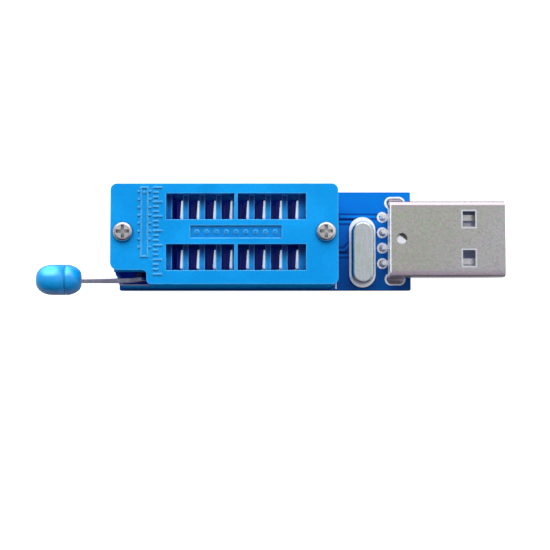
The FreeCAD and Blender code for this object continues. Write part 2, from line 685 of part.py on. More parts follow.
# ---------------------------------------------------------------- lever blade
# Bends of the blade at its pivot end: X, Y from the straight part of the same face.
BLADE_OUTER_BENDS = [(-60.2, 0.0), (-58.6, 0.10), (-57.3, 0.28), (-56.6, 0.42)]
BLADE_INNER_BENDS = [(-56.55, 0.44), (-57.3, 0.34), (-58.6, 0.22), (-61.66, 0.10)]


def build_lever_blade():
    """The blade seen from above, trimmed to its side outline and pierced by the tenon."""
    outer, inner = dim.blade_out_y, dim.blade_in_y
    stock_half_z, straight_start = 2.0, 0.3
    tool_y = (-9.0, -4.0)
    blank = BodyBuilder("lever_blank")
    blank.pad("XY", PIVOT_Z - stock_half_z, PIVOT_Z + stock_half_z, poly(
        (dim.tang_left_x, outer),
        *[(x, outer + bend) for x, bend in BLADE_OUTER_BENDS],
        *[(x, inner + bend) for x, bend in BLADE_INNER_BENDS],
        (dim.tang_right_x + straight_start, inner),
        (dim.tang_left_x, inner),
    ))

    outline = BodyBuilder("lever_outline")
    eye, half_high, tang = dim.blade_eye_rad, dim.blade_half_high, dim.tang_half_high
    neck_x = PIVOT_X - 1.2
    tang_end_share = 0.9  # blade height at the tang, as a share of its full height
    side = []
    for k in range(-8, 9):
        angle = math.radians(90.0 * k / 8)
        side.append((PIVOT_X + eye * math.cos(angle), PIVOT_Z + eye * math.sin(angle)))
    side += [
        (neck_x, PIVOT_Z + half_high),
        (dim.tang_right_x, PIVOT_Z + half_high * tang_end_share),
        (dim.tang_right_x, PIVOT_Z + tang),
        (dim.tang_left_x, PIVOT_Z + tang),
        (dim.tang_left_x, PIVOT_Z - tang),
        (dim.tang_right_x, PIVOT_Z - tang),
        (dim.tang_right_x, PIVOT_Z - half_high * tang_end_share),
        (neck_x, PIVOT_Z - half_high),
    ]
    outline.pad("XZ", *tool_y, poly(*side))
    formed = boolean("Common", "lever_formed", blank.body, outline.body)
    square = box("lever_square", PIVOT_X - TENON_HALF, PIVOT_X + TENON_HALF, *tool_y,
                 PIVOT_Z - TENON_HALF, PIVOT_Z + TENON_HALF)
    return cut("lever_blade", formed, square)


# ---------------------------------------------------------------- cam shaft
def build_cam_shaft():
    """Shaft, cam and square tenon; two opposite arcs keep the cam's breadth constant."""
    cam = BodyBuilder("cam_shaft")
    cam.pad("XZ", dim.shaft_outer_y, dim.shaft_inner_y, disc(PIVOT_X, PIVOT_Z, dim.shaft_rad))
    rise, steps = dim.cam_rise, 12
    profile = []
    for side in (-1, 1):
        for k in range(steps + 1):
            turn = math.pi / 2 * k / steps
            reach = dim.cam_base_rad - rise * (turn * side)
            profile.append((
                PIVOT_X + reach * (math.cos(turn) * side) + rise * math.sin(turn),
                PIVOT_Z + reach * (math.sin(turn) * side) - rise * math.cos(turn),
            ))
    cam.pad("XZ", dim.cam_near_y, dim.cam_far_y, poly(*profile))
    cam.pad("XZ", dim.tenon_outer_y, dim.shaft_outer_y + OVERLAP,
            rect(PIVOT_X - TENON_HALF, PIVOT_X + TENON_HALF,
                 PIVOT_Z - TENON_HALF, PIVOT_Z + TENON_HALF))
    return cam.body


# ---------------------------------------------------------------- lever knob
# Half section from the left end: share of the knob's length, share of its radius.
KNOB_PROFILE = [
    (0.0, 0.0), (0.0, 0.44), (0.020, 0.55), (0.048, 0.66), (0.088, 0.765), (0.145, 0.865),
    (0.21, 0.94), (0.29, 0.985), (0.38, 1.0), (0.648, 1.0), (0.653, 0.95), (0.676, 0.95),
    (0.681, 1.0), (0.72, 0.995), (0.78, 0.965), (0.84, 0.905), (0.90, 0.815), (0.95, 0.71),
    (0.985, 0.60), (1.0, 0.50), (1.0, 0.0),
]


def build_lever_knob():
    """Turned about its own axis along X, with a hole for the blade's tang."""
    knob = BodyBuilder("lever_knob_blank")
    sketch = knob.body.newObject("Sketcher::SketchObject", "knob_profile")
    sketch.AttachmentSupport = [(knob.origin("XZ_Plane"), "")]
    sketch.MapMode = "FlatFace"
    start = (dim.knob_left_x, PIVOT_Z, -dim.knob_mid_y)
    for axis, place in zip("xyz", start):
        sketch.setExpression("AttachmentOffset.Base." + axis, place.text)
    offset = V(*(place.value for place in start))
    sketch.AttachmentOffset = FreeCAD.Placement(offset, FreeCAD.Rotation())
    poly(*[(dim.knob_long * along, dim.knob_rad * out) for along, out in KNOB_PROFILE])(sketch)
    doc.recompute()
    turned = knob.body.newObject("PartDesign::Revolution", "knob_turned")
    turned.Profile = sketch
    turned.ReferenceAxis = (sketch, ["H_Axis"])
    turned.Angle = 360.0
    doc.recompute()
    hole_right_x = -60.0
    hole = box("knob_tang_hole", dim.tang_left_x, hole_right_x, dim.blade_out_y, dim.blade_in_y,
               PIVOT_Z - dim.tang_half_high, PIVOT_Z + dim.tang_half_high)
    return cut("lever_knob", knob.body, hole)


# ---------------------------------------------------------------- contact slider (comb and yoke)
def build_contact_slider():
    comb = BodyBuilder("contact_slider")
    bottom = dim.slider_bottom_z
    top = bottom + dim.slider_thk
    half_y = dim.slider_half_y
    comb.pad("XY", bottom, top, rect(dim.slider_left_x, dim.slider_right_x, -half_y, half_y))

    # yoke round the cam: arm, two ears, and the opening between them
    yoke_left = PIVOT_X - dim.cam_base_rad - dim.cam_gap
    yoke_right = PIVOT_X + dim.cam_base_rad + dim.cam_gap
    yoke_end = yoke_left - dim.yoke_left_wall
    yoke_y = (dim.yoke_outer_y, dim.yoke_inner_y)
    arm_overlap = 0.3
    comb.pad("XY", bottom, top, rect(yoke_end, dim.slider_left_x + arm_overlap, *yoke_y))
    comb.pad("XY", bottom + OVERLAP, dim.slider_ear_z,
             rect(yoke_end, yoke_left, *yoke_y),
             rect(yoke_right, yoke_right + dim.yoke_right_wall, *yoke_y))
    comb.pocket("XY", top + SLIVER, bottom - SLIVER,
                rect(yoke_left, yoke_right, dim.cam_near_y - dim.cam_side_gap,
                     dim.cam_far_y + dim.cam_side_gap))

    # one more gap than there are contacts
    gap_left = FIRST_X - PITCH + dim.slider_bar_right
    gap_right = FIRST_X - dim.slider_bar_left
    gap = comb.pocket("XY", top, bottom,
                      *[band(gap_left, gap_right, y, dim.slider_slot_half_y)
                        for y in ROWS.values()])
    comb.row([gap], PITCH, dim.slot_count + 1)
    return comb.body


# ---------------------------------------------------------------- contact springs
def build_contact_springs(tag):
    """One row of springs: fixed beam on the right, bend at the bottom, moving beam on the left."""
    y = ROWS[tag]
    spring = BodyBuilder("contact_springs_" + tag)
    thk, low = dim.spring_thk, dim.spring_low_z
    top, tip = dim.spring_top_z, dim.spring_tip_z
    fixed_left = FIRST_X + dim.spring_fix_x
    fixed_right = fixed_left + thk
    moving_left = FIRST_X - dim.spring_move_x
    moving_right = moving_left + thk
    strip = [  # X, Z, round the strip seen edge-on
        (moving_left, low + 0.35), (moving_left + 0.12, low + 0.1), (moving_left + 0.4, low),
        (fixed_right, low), (fixed_right, top - 0.7), (fixed_right + 0.03, top),
        (fixed_right - 0.3, top), (fixed_left, top - 0.7), (fixed_left, low + thk),
        (moving_right + 0.15, low + thk), (moving_right, low + thk + 0.15),
        (moving_right, low + 5.0), (FIRST_X + 0.45, tip), (FIRST_X + 0.45, tip + 0.25),
        (FIRST_X + 0.05, tip + 1.0), (FIRST_X - 0.24, tip + 0.95), (FIRST_X + 0.14, tip + 0.15),
        (moving_left, low + 5.1),
    ]
    beam = spring.pad("XZ", y - dim.spring_half_y, y + dim.spring_half_y, poly(*strip))
    tail = spring.pad("XY", dim.tail_end_z, low + SINK,
                      band(fixed_left, fixed_right, y, dim.spring_tail_half_y))
    spring.row([beam, tail], PITCH, dim.slot_count)
    return spring.body


def low_joint_cone(name, x, y):
    """The cone of solder under the board round a tail."""
    return cone(name, x, y, BOARD_BOTTOM - dim.joint_low_high, BOARD_BOTTOM,
                dim.joint_top_rad, dim.joint_rad)


def build_socket_solder(tag, springs):
    y = ROWS[tag]
    joints = []
    for k in range(int(dim.slot_count.value)):
        x = TAIL_X + PITCH * k
        fill = rod(f"sock_fill_{tag}_{k}", x, y, BOARD_BOTTOM, BOARD_TOP, dim.pin_hole_rad)
        low = low_joint_cone(f"sock_cone_{tag}_{k}", x, y)
        joints.append(join(f"sock_joint_{tag}_{k}", [fill, low]))
    return cut("socket_solder_" + tag, group("sock_joints_" + tag, joints), springs)


# ---------------------------------------------------------------- USB shell, folded from sheet
def build_usb_shell():
    length, sheet_thk = dim.shell_long, dim.shell_sheet
    half_y, half_z = dim.shell_half_y, dim.shell_half_z
    inner_y, inner_z = half_y - sheet_thk, half_z - sheet_thk
    tool_z = 4.0  # the cutting tools reach this far above and below the middle

    shell = BodyBuilder("usb_shell_blank")
    shell.pad("YZ", -length, 0.0, rect(-half_y, half_y, -half_z, half_z))
    shell.fillet(dim.shell_corner_rad, lengthwise)
    core = BodyBuilder("shell_core")
    core.pad("YZ", -length - BEYOND, BEYOND, rect(-inner_y, inner_y, -inner_z, inner_z))
    core.fillet(dim.shell_corner_rad - sheet_thk, lengthwise)

    cutters = [core.body]
    latch_x, latch_half_x, latch_half_y = dim.latch_mid_x, dim.latch_long / 2, dim.latch_wide / 2
    for i, s in enumerate(SIDES):
        latch_y = dim.latch_mid_y * s
        cutters.append(box(f"latch_{i}", latch_x - latch_half_x, latch_x + latch_half_x,
                           latch_y - latch_half_y, latch_y + latch_half_y, -tool_z, tool_z))
    cutters.append(rod("shell_round_hole", dim.shell_hole_x, 0.0, 0.0, tool_z,
                       dim.shell_hole_rad))
    seam = dim.shell_seam_half_y
    cutters.append(box("shell_seam", -length - BEYOND, BEYOND, -seam, seam, -tool_z, 0.0))
    tube = cut("shell_tube", shell.body, join("shell_cutters", cutters))

    leg_x, leg_half = dim.leg_mid_x, dim.leg_long / 2
    legs = [box(f"shell_leg_{i}", leg_x - leg_half, leg_x + leg_half, y0, y1,
                dim.leg_end_z, 0.0)
            for i, (y0, y1) in enumerate(((inner_y, half_y), (-half_y, -inner_y)))]
    return join("usb_shell", [tube] + legs)


# ---------------------------------------------------------------- USB contacts
def build_usb_contacts():
    """Four contacts, each a blade on the tongue, a step down, a rear run and a tail."""
    thk, blade_half = dim.contact_thk, dim.contact_half_y
    tail_half, run_z, back_x = dim.usb_tail_half_y, dim.usb_tail_z, dim.block_back_x
    blade_z = dim.tongue_top_z - dim.contact_sunk
    # places measured from the back of the insulator block
    step_left, step_right, blade_left, run_right = 2.0, 2.65, 2.4, 2.3
    step_margin = 0.3
    outer = (dim.contact_outer_front_x, dim.contact_outer_y)
    inner = (dim.contact_inner_front_x, dim.contact_inner_y)
    contacts = []
    for i, ((front_x, off_y), s) in enumerate(((outer, 1), (inner, 1), (inner, -1), (outer, -1))):
        y, tail_y = off_y * s, USB_TAIL_YS[i]
        blade = box(f"usb_blade_{i}", back_x + blade_left, front_x, y - blade_half,
                    y + blade_half, blade_z, blade_z + thk)
        low_y, high_y = in_order(y, tail_y)
        step = box(f"usb_step_{i}", back_x + step_left, back_x + step_right,
                   low_y - step_margin, high_y + step_margin, run_z, blade_z + thk)
        tail_left = USB_TAIL_X - thk / 2
        run = box(f"usb_rear_{i}", tail_left, back_x + run_right, tail_y - tail_half,
                  tail_y + tail_half, run_z, run_z + thk)
        down = box(f"usb_down_{i}", tail_left, USB_TAIL_X + thk / 2, tail_y - tail_half,
                   tail_y + tail_half, dim.tail_end_z + dim.usb_tail_short, run_z + thk)
        contacts.append(join(f"usb_contact_{i}", [blade, step, run, down]))
    return group("usb_contacts", contacts)


# ---------------------------------------------------------------- USB insulator
def build_usb_insulator(contacts):
    """Tongue and block, rounded to fit the shell, moulded round the contacts."""
    half_y = dim.tongue_half_y
    fit_y = dim.shell_half_y - dim.shell_sheet - dim.insulator_gap
    fit_z = dim.shell_half_z - dim.shell_sheet - dim.insulator_gap
    tongue = box("insulator_tongue", dim.block_front_x - BEYOND, dim.tongue_front_x,
                 -half_y, half_y, -fit_z, dim.tongue_top_z)
    block = box("insulator_block", dim.block_back_x, dim.block_front_x, -half_y, half_y,
                -fit_z, fit_z)
    envelope = BodyBuilder("insulator_envelope")
    envelope.pad("YZ", dim.block_back_x - CLEAR, CLEAR, rect(-fit_y, fit_y, -fit_z, fit_z))
    envelope.fillet(dim.insulator_corner_rad, lengthwise)
    body = join("insulator_body", [tongue, block])
    rounded = boolean("Common", "insulator_rounded", body, envelope.body)
    return cut("usb_insulator", rounded, contacts)


# ---------------------------------------------------------------- solder of the USB plug
def build_usb_tail_solder(contacts):
    joints = []
    for i, y in enumerate(USB_TAIL_YS):
        top = cone(f"usb_top_cone_{i}", USB_TAIL_X, y, BOARD_TOP, BOARD_TOP + dim.joint_high,
                   dim.joint_rad, dim.joint_top_rad)
        fill = rod(f"usb_fill_{i}", USB_TAIL_X, y, BOARD_BOTTOM, BOARD_TOP, dim.usb_hole_rad)
        low = low_joint_cone(f"usb_low_cone_{i}", USB_TAIL_X, y)
        joints.append(join(f"usb_dot_{i}", [top, fill, low]))
    return cut("usb_tail_solder", group("usb_dots", joints), contacts)


def build_shell_leg_solder(shell):
    """Filled slots with a pad under the board and a shallow dip on top."""
    fill = BodyBuilder("leg_fill")
    slot_long, slot_rad = dim.leg_slot_half_x - dim.leg_slot_half_y, dim.leg_slot_half_y
    pad_long, pad_rad = dim.leg_pad_half_x - dim.leg_pad_half_y, dim.leg_pad_half_y
    dip_shorter, dip_narrower = 0.05, 0.1
    fill.pad("XY", BOARD_BOTTOM, BOARD_TOP, *leg_stadiums(slot_long, slot_rad))
    fill.pad("XY", BOARD_BOTTOM - dim.leg_pad_thk, BOARD_BOTTOM,
             *leg_stadiums(pad_long, pad_rad))
    fill.pocket("XY", BOARD_TOP, BOARD_TOP - dim.leg_dip_deep,
                *leg_stadiums(slot_long - dip_shorter, slot_rad - dip_narrower))
    return cut("shell_leg_solder", fill.body, shell)


# ---------------------------------------------------------------- crystal
def flange_stadium():
    return stadium(CRYSTAL_X, CRYSTAL_Y, dim.flange_half_y - dim.flange_half_x,
                   dim.flange_half_x, "y")


def build_crystal_can():
    can = BodyBuilder("crystal_can")
    top = BOARD_TOP + dim.crystal_high
    mid_y = CRYSTAL_Y - dim.can_lean_y
    radius = dim.crystal_half_x
    half_long = dim.crystal_half_y - radius
    can.pad("XY", FLANGE_TOP, FLANGE_TOP + dim.can_rim_high, flange_stadium())
    can.pad("XY", FLANGE_TOP, top, stadium(CRYSTAL_X, mid_y, half_long, radius, "y"))
    can.fillet(dim.can_top_rad, lambda b: abs(b.ZMin - top.value) < 0.01 and b.ZLength < 0.01)
    can.pocket("XY", top - dim.crystal_wall, FLANGE_TOP,
               stadium(CRYSTAL_X, mid_y, half_long, radius - dim.crystal_wall, "y"))
    return can.body


def build_crystal_header():
    header = BodyBuilder("crystal_header")
    header.pad("XY", FLANGE_BOTTOM, FLANGE_TOP, flange_stadium())
    header.pocket("XY", FLANGE_TOP, FLANGE_BOTTOM,
                  *[disc(CRYSTAL_X, y, dim.seal_rad) for y in LEAD_YS])
    return header.body


def build_crystal_fittings():
    """Leads, their glass seals, clips, quartz blank and solder."""
    x, blank_half = CRYSTAL_X, dim.blank_thk / 2
    lead_top = FLANGE_TOP + dim.lead_stub
    clip_top = lead_top + dim.clip_thk
    leads, seals, clips, joints = [], [], [], []
    for i, y in enumerate(LEAD_YS):
        leads.append(rod(f"lead_{i}", x, y, dim.lead_end_z, lead_top, dim.lead_rad))

        seal = rod(f"seal_{i}", x, y, FLANGE_BOTTOM, FLANGE_TOP, dim.seal_rad)
        bore = rod(f"seal_bore_{i}", x, y, FLANGE_BOTTOM - BEYOND, FLANGE_TOP + BEYOND,
                   dim.lead_rad)
        seals.append(cut(f"seal_cut_{i}", seal, bore))

        plate = box(f"clip_plate_{i}", x - dim.clip_half_x, x + dim.clip_half_x,
                    y - dim.clip_half_y, y + dim.clip_half_y, lead_top, clip_top)
        arm = box(f"clip_arm_{i}", x - blank_half - dim.clip_arm_thk, x - blank_half,
                  y - dim.clip_arm_half_y, y + dim.clip_arm_half_y,
                  lead_top, FLANGE_TOP + dim.clip_top)
        clips.append(join(f"clip_{i}", [plate, arm]))

        fill = rod(f"lead_fill_{i}", x, y, BOARD_BOTTOM, BOARD_TOP, dim.lead_hole_rad)
        low = cone(f"lead_cone_{i}", x, y, BOARD_BOTTOM - dim.lead_joint_high, BOARD_BOTTOM,
                   dim.lead_joint_low_rad, dim.lead_joint_rad)
        mass = join(f"lead_mass_{i}", [fill, low])
        joints.append(cut(f"lead_joint_{i}", mass, leads[i]))
    blank = box("quartz_blank", x - blank_half, x + blank_half, CRYSTAL_Y - dim.blank_half_y,
                CRYSTAL_Y + dim.blank_half_y, clip_top, clip_top + dim.blank_high)
    return [group("crystal_leads", leads), group("crystal_glass_seals", seals),
            group("crystal_clips", clips), blank, group("crystal_solder", joints)]


# ---------------------------------------------------------------- interface chip under the board
CHIP_TOP = BOARD_BOTTOM - dim.chip_gap
CHIP_HALF_Y = dim.chip_wide / 2


def build_chip_body():
    chip = BodyBuilder("interface_chip_body")
    bottom = CHIP_TOP - dim.chip_thk
    half_x = dim.chip_long / 2
    left = dim.chip_mid_x - half_x
    chip.pad("XY", bottom, CHIP_TOP, band(left, dim.chip_mid_x + half_x, MID_Y, CHIP_HALF_Y))
    chip.pocket("XY", bottom + dim.chip_dot_deep, bottom - SLIVER,
                disc(left + dim.chip_dot_inset, MID_Y - CHIP_HALF_Y + dim.chip_dot_inset,
                     dim.chip_dot_rad))
    return chip.body


def build_chip_leads():
    leads = BodyBuilder("interface_chip_leads")
    thk, half_wide = dim.chip_lead_thk, dim.chip_lead_wide / 2
    mid_z = CHIP_TOP - dim.chip_thk / 2
    foot_z, toe = BOARD_BOTTOM - thk, dim.chip_span_half
    first_x = dim.chip_mid_x - dim.chip_pitch * ((dim.chip_lead_count - 1) / 2)
    # Gull wing seen along X: out of the body, up to the board, foot flat on its underside.
    # Distance out from the socket's middle line, Z.
    gull = [
        (CHIP_HALF_Y, mid_z - thk / 2), (CHIP_HALF_Y + 0.52, mid_z - thk / 2),
        (CHIP_HALF_Y + 0.62, foot_z), (toe, foot_z), (toe, BOARD_BOTTOM),
        (CHIP_HALF_Y + 0.45, BOARD_BOTTOM), (CHIP_HALF_Y + 0.35, mid_z + thk / 2),
        (CHIP_HALF_Y, mid_z + thk / 2),
    ]
    pads = [leads.pad("YZ", first_x - half_wide, first_x + half_wide,
                      poly(*[(MID_Y + out * s, z) for out, z in gull]))
            for s in SIDES]
    leads.row(pads, dim.chip_pitch, dim.chip_lead_count)
    return leads.body


# ---------------------------------------------------------------- small parts under the board
CAP_WRAP = 0.02  # how far an end cap stands out from the body it wraps
# name, centre X, centre Y, axis it lies along
CAPACITORS = [
    ("cap_load_a", -25.3, 1.6, "y"), ("cap_load_b", -25.3, -4.6, "y"),
    ("cap_supply", -29.6, -0.4, "y"), ("cap_bulk", -16.6, 0.1, "y"),
]
RESISTORS = [
    ("res_series", -28.6, 5.6, "x"), ("res_pull", -28.6, -6.2, "x"), ("res_lamp", -23.2, 5.9, "x"),
]
LED = ("led", -23.2, -6.9, "x")


def two_ended(name, x, y, along, length, width, tall, cap_long):
    """A block part hanging from the board's underside: its body and its two end caps."""
    half_long, half_wide = length / 2, width / 2
    bottom = BOARD_BOTTOM - tall - CAP_WRAP

    def block(block_name, start, end, half_across, z0, z1):
        if along == "x":
            return box(block_name, x + start, x + end, y - half_across, y + half_across, z0, z1)
        return box(block_name, x - half_across, x + half_across, y + start, y + end, z0, z1)

    core = block(name + "_core", -half_long, half_long, half_wide,
                 bottom, BOARD_BOTTOM - CAP_WRAP)
    caps = [block(f"{name}_cap_{k}", start, start + cap_long, half_wide + CAP_WRAP,
                  bottom - CAP_WRAP, BOARD_BOTTOM)
            for k, start in enumerate((half_long - cap_long, -half_long))]
    return cut(name + "_body", core, join(name + "_both", caps)), caps


def build_two_ended_set(label, places, **sizes):
    bodies, ends = [], []
    for place in places:
        body, caps = two_ended(*place, **sizes)
        bodies.append(body)
        ends += caps
    return [group(label + "_bodies", bodies), group(label + "_ends", ends)]


def build_status_led():
    tall, lens_half_x, lens_half_y, lens_high = 0.4, 0.55, 0.45, 0.4
    base, caps = two_ended(*LED, length=2.0, width=1.1, tall=tall, cap_long=0.35)
    base.Label = "status_led_base"
    x, y = LED[1:3]
    lens_top = BOARD_BOTTOM - tall - CAP_WRAP
    lens = box("status_led_lens", x - lens_half_x, x + lens_half_x, y - lens_half_y,
               y + lens_half_y, lens_top - lens_high, lens_top)
    return [base, group("status_led_ends", caps), lens]


# ---------------------------------------------------------------- build, check, write
pieces = [
    build_circuit_board(), build_socket_base(), build_socket_cover(), build_cover_screws(),
    build_lever_blade(), build_cam_shaft(), build_lever_knob(), build_contact_slider(),
]
for row_tag in ROWS:
    row_springs = build_contact_springs(row_tag)
    pieces += [row_springs, build_socket_solder(row_tag, row_springs)]
usb_shell = build_usb_shell()
usb_contacts = build_usb_contacts()
pieces += [
    usb_shell, usb_contacts, build_usb_insulator(usb_contacts),
    build_usb_tail_solder(usb_contacts), build_shell_leg_solder(usb_shell),
    build_crystal_can(), build_crystal_header(), *build_crystal_fittings(),
    build_chip_body(), build_chip_leads(),
    *build_two_ended_set("ceramic_capacitor", CAPACITORS,
                         length=2.0, width=1.25, tall=0.85, cap_long=0.4),
    *build_two_ended_set("resistor", RESISTORS,
                         length=2.0, width=1.25, tall=0.55, cap_long=0.35),
    *build_status_led(),
]

doc.recompute()
for obj in doc.Objects:
    if "Invalid" in obj.State or "Error" in obj.State:
        raise RuntimeError(f"{obj.Name} is in state {obj.State}")
os.makedirs("parts", exist_ok=True)
for piece in pieces:
    shape = piece.Shape
    if shape.isNull() or not shape.isValid() or not shape.Solids:
        raise RuntimeError(f"{piece.Label} has no valid solid")
    shape.exportStep(f"parts/{piece.Label}.step")
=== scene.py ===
"""USB programmer: a circuit board with a lever-operated chip socket and a USB plug.

The board lies flat in XY with +Z up. The lever's knob is at the -X end and the plug's mouth faces +X.
+Y is the rear and -Y the front. Dimensions are millimetres, turned into metres with MM;
lights, floor and camera are in metres.
"""

import math
import random

import bmesh
import bpy
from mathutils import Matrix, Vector


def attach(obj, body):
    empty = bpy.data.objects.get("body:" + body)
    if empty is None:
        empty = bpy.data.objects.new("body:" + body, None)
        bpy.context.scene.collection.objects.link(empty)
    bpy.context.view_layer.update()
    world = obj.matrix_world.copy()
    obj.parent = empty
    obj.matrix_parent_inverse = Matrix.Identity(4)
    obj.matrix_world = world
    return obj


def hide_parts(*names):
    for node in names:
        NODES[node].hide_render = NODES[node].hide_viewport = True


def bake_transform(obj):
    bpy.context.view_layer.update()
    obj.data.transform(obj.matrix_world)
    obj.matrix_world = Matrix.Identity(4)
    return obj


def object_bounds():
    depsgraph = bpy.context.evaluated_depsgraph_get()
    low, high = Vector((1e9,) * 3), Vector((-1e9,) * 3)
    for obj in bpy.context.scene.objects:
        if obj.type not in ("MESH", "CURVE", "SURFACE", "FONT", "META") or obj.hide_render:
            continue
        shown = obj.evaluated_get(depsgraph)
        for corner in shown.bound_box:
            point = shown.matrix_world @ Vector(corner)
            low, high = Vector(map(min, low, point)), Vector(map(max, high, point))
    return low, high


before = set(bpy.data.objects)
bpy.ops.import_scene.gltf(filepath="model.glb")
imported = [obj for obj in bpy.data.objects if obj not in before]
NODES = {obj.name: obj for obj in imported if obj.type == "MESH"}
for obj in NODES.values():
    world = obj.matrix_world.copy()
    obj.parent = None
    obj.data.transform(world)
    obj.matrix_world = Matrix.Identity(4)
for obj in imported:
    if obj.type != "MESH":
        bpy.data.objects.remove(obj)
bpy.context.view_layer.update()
MM = 0.001
BODY = "programmer"

# ---------------------------------------------------------------- driving dimensions, mm
BOARD_TOP, BOARD_UNDER = -2.25, -3.85

CONTACTS = 8                       # in each of the socket's two rows
PITCH = 2.54
CONTACT_X = [-51.53 + PITCH * k for k in range(CONTACTS)]
BEAM_X = 0.65                      # fixed beam and its tail, from the contact's own x
TAIL_X = [-51.53 + BEAM_X + PITCH * k for k in range(CONTACTS)]
ROW_REAR, ROW_FRONT = 4.11, -3.51  # the tails' rows
ROWS = (("rear", ROW_REAR), ("front", ROW_FRONT))
LEAF_SHIFT_Y = -0.3                # middle of a contact's leaves, from its tail
LEAF_HALF_Y = 1.45

USB_TAIL_X = -19.17
USB_TAIL_Y = [3.85 - 2.5 * k for k in range(4)]
LEG_X, LEG_Y = -17.15, 6.15        # the plug shell's legs, at +Y and -Y
WINDOW_Y = 3.1                     # the plug shell's windows, at +Y and -Y
CRYSTAL_X, CRYSTAL_Y = -22.46, -1.86
CRYSTAL_LEAD_Y = [CRYSTAL_Y + 2.44, CRYSTAL_Y - 2.44]

TRACK_HALF, CLEARANCE_HALF = 0.20, 0.52


# ---------------------------------------------------------------- node helpers
class Nodes:
    """The node tree of a material or world."""

    def __init__(self, owner):
        owner.use_nodes = True
        self.tree = owner.node_tree
        self.tree.nodes.clear()

    def new(self, kind, inputs=None, **settings):
        """A node with its settings made and its inputs, by name or index, filled."""
        node = self.tree.nodes.new(kind)
        for key, value in settings.items():
            setattr(node, key, value)
        for key, value in (inputs or {}).items():
            self.put(node.inputs[key], value)
        return node

    def put(self, socket, value):
        """Links a socket, or stores a plain value."""
        if isinstance(value, bpy.types.NodeSocket):
            self.tree.links.new(value, socket)
        else:
            socket.default_value = value

    def split(self, vector):
        return tuple(self.new("ShaderNodeSeparateXYZ", {0: vector}).outputs)

    def ramp(self, value, span, to=(0.0, 1.0), smooth=True):
        """Maps the span onto the range `to`; a falling span turns the ramp round."""
        inputs = {"Value": value, "From Min": span[0], "From Max": span[1],
                  "To Min": to[0], "To Max": to[1]}
        kind = "SMOOTHSTEP" if smooth else "LINEAR"
        return self.new("ShaderNodeMapRange", inputs, interpolation_type=kind).outputs["Result"]


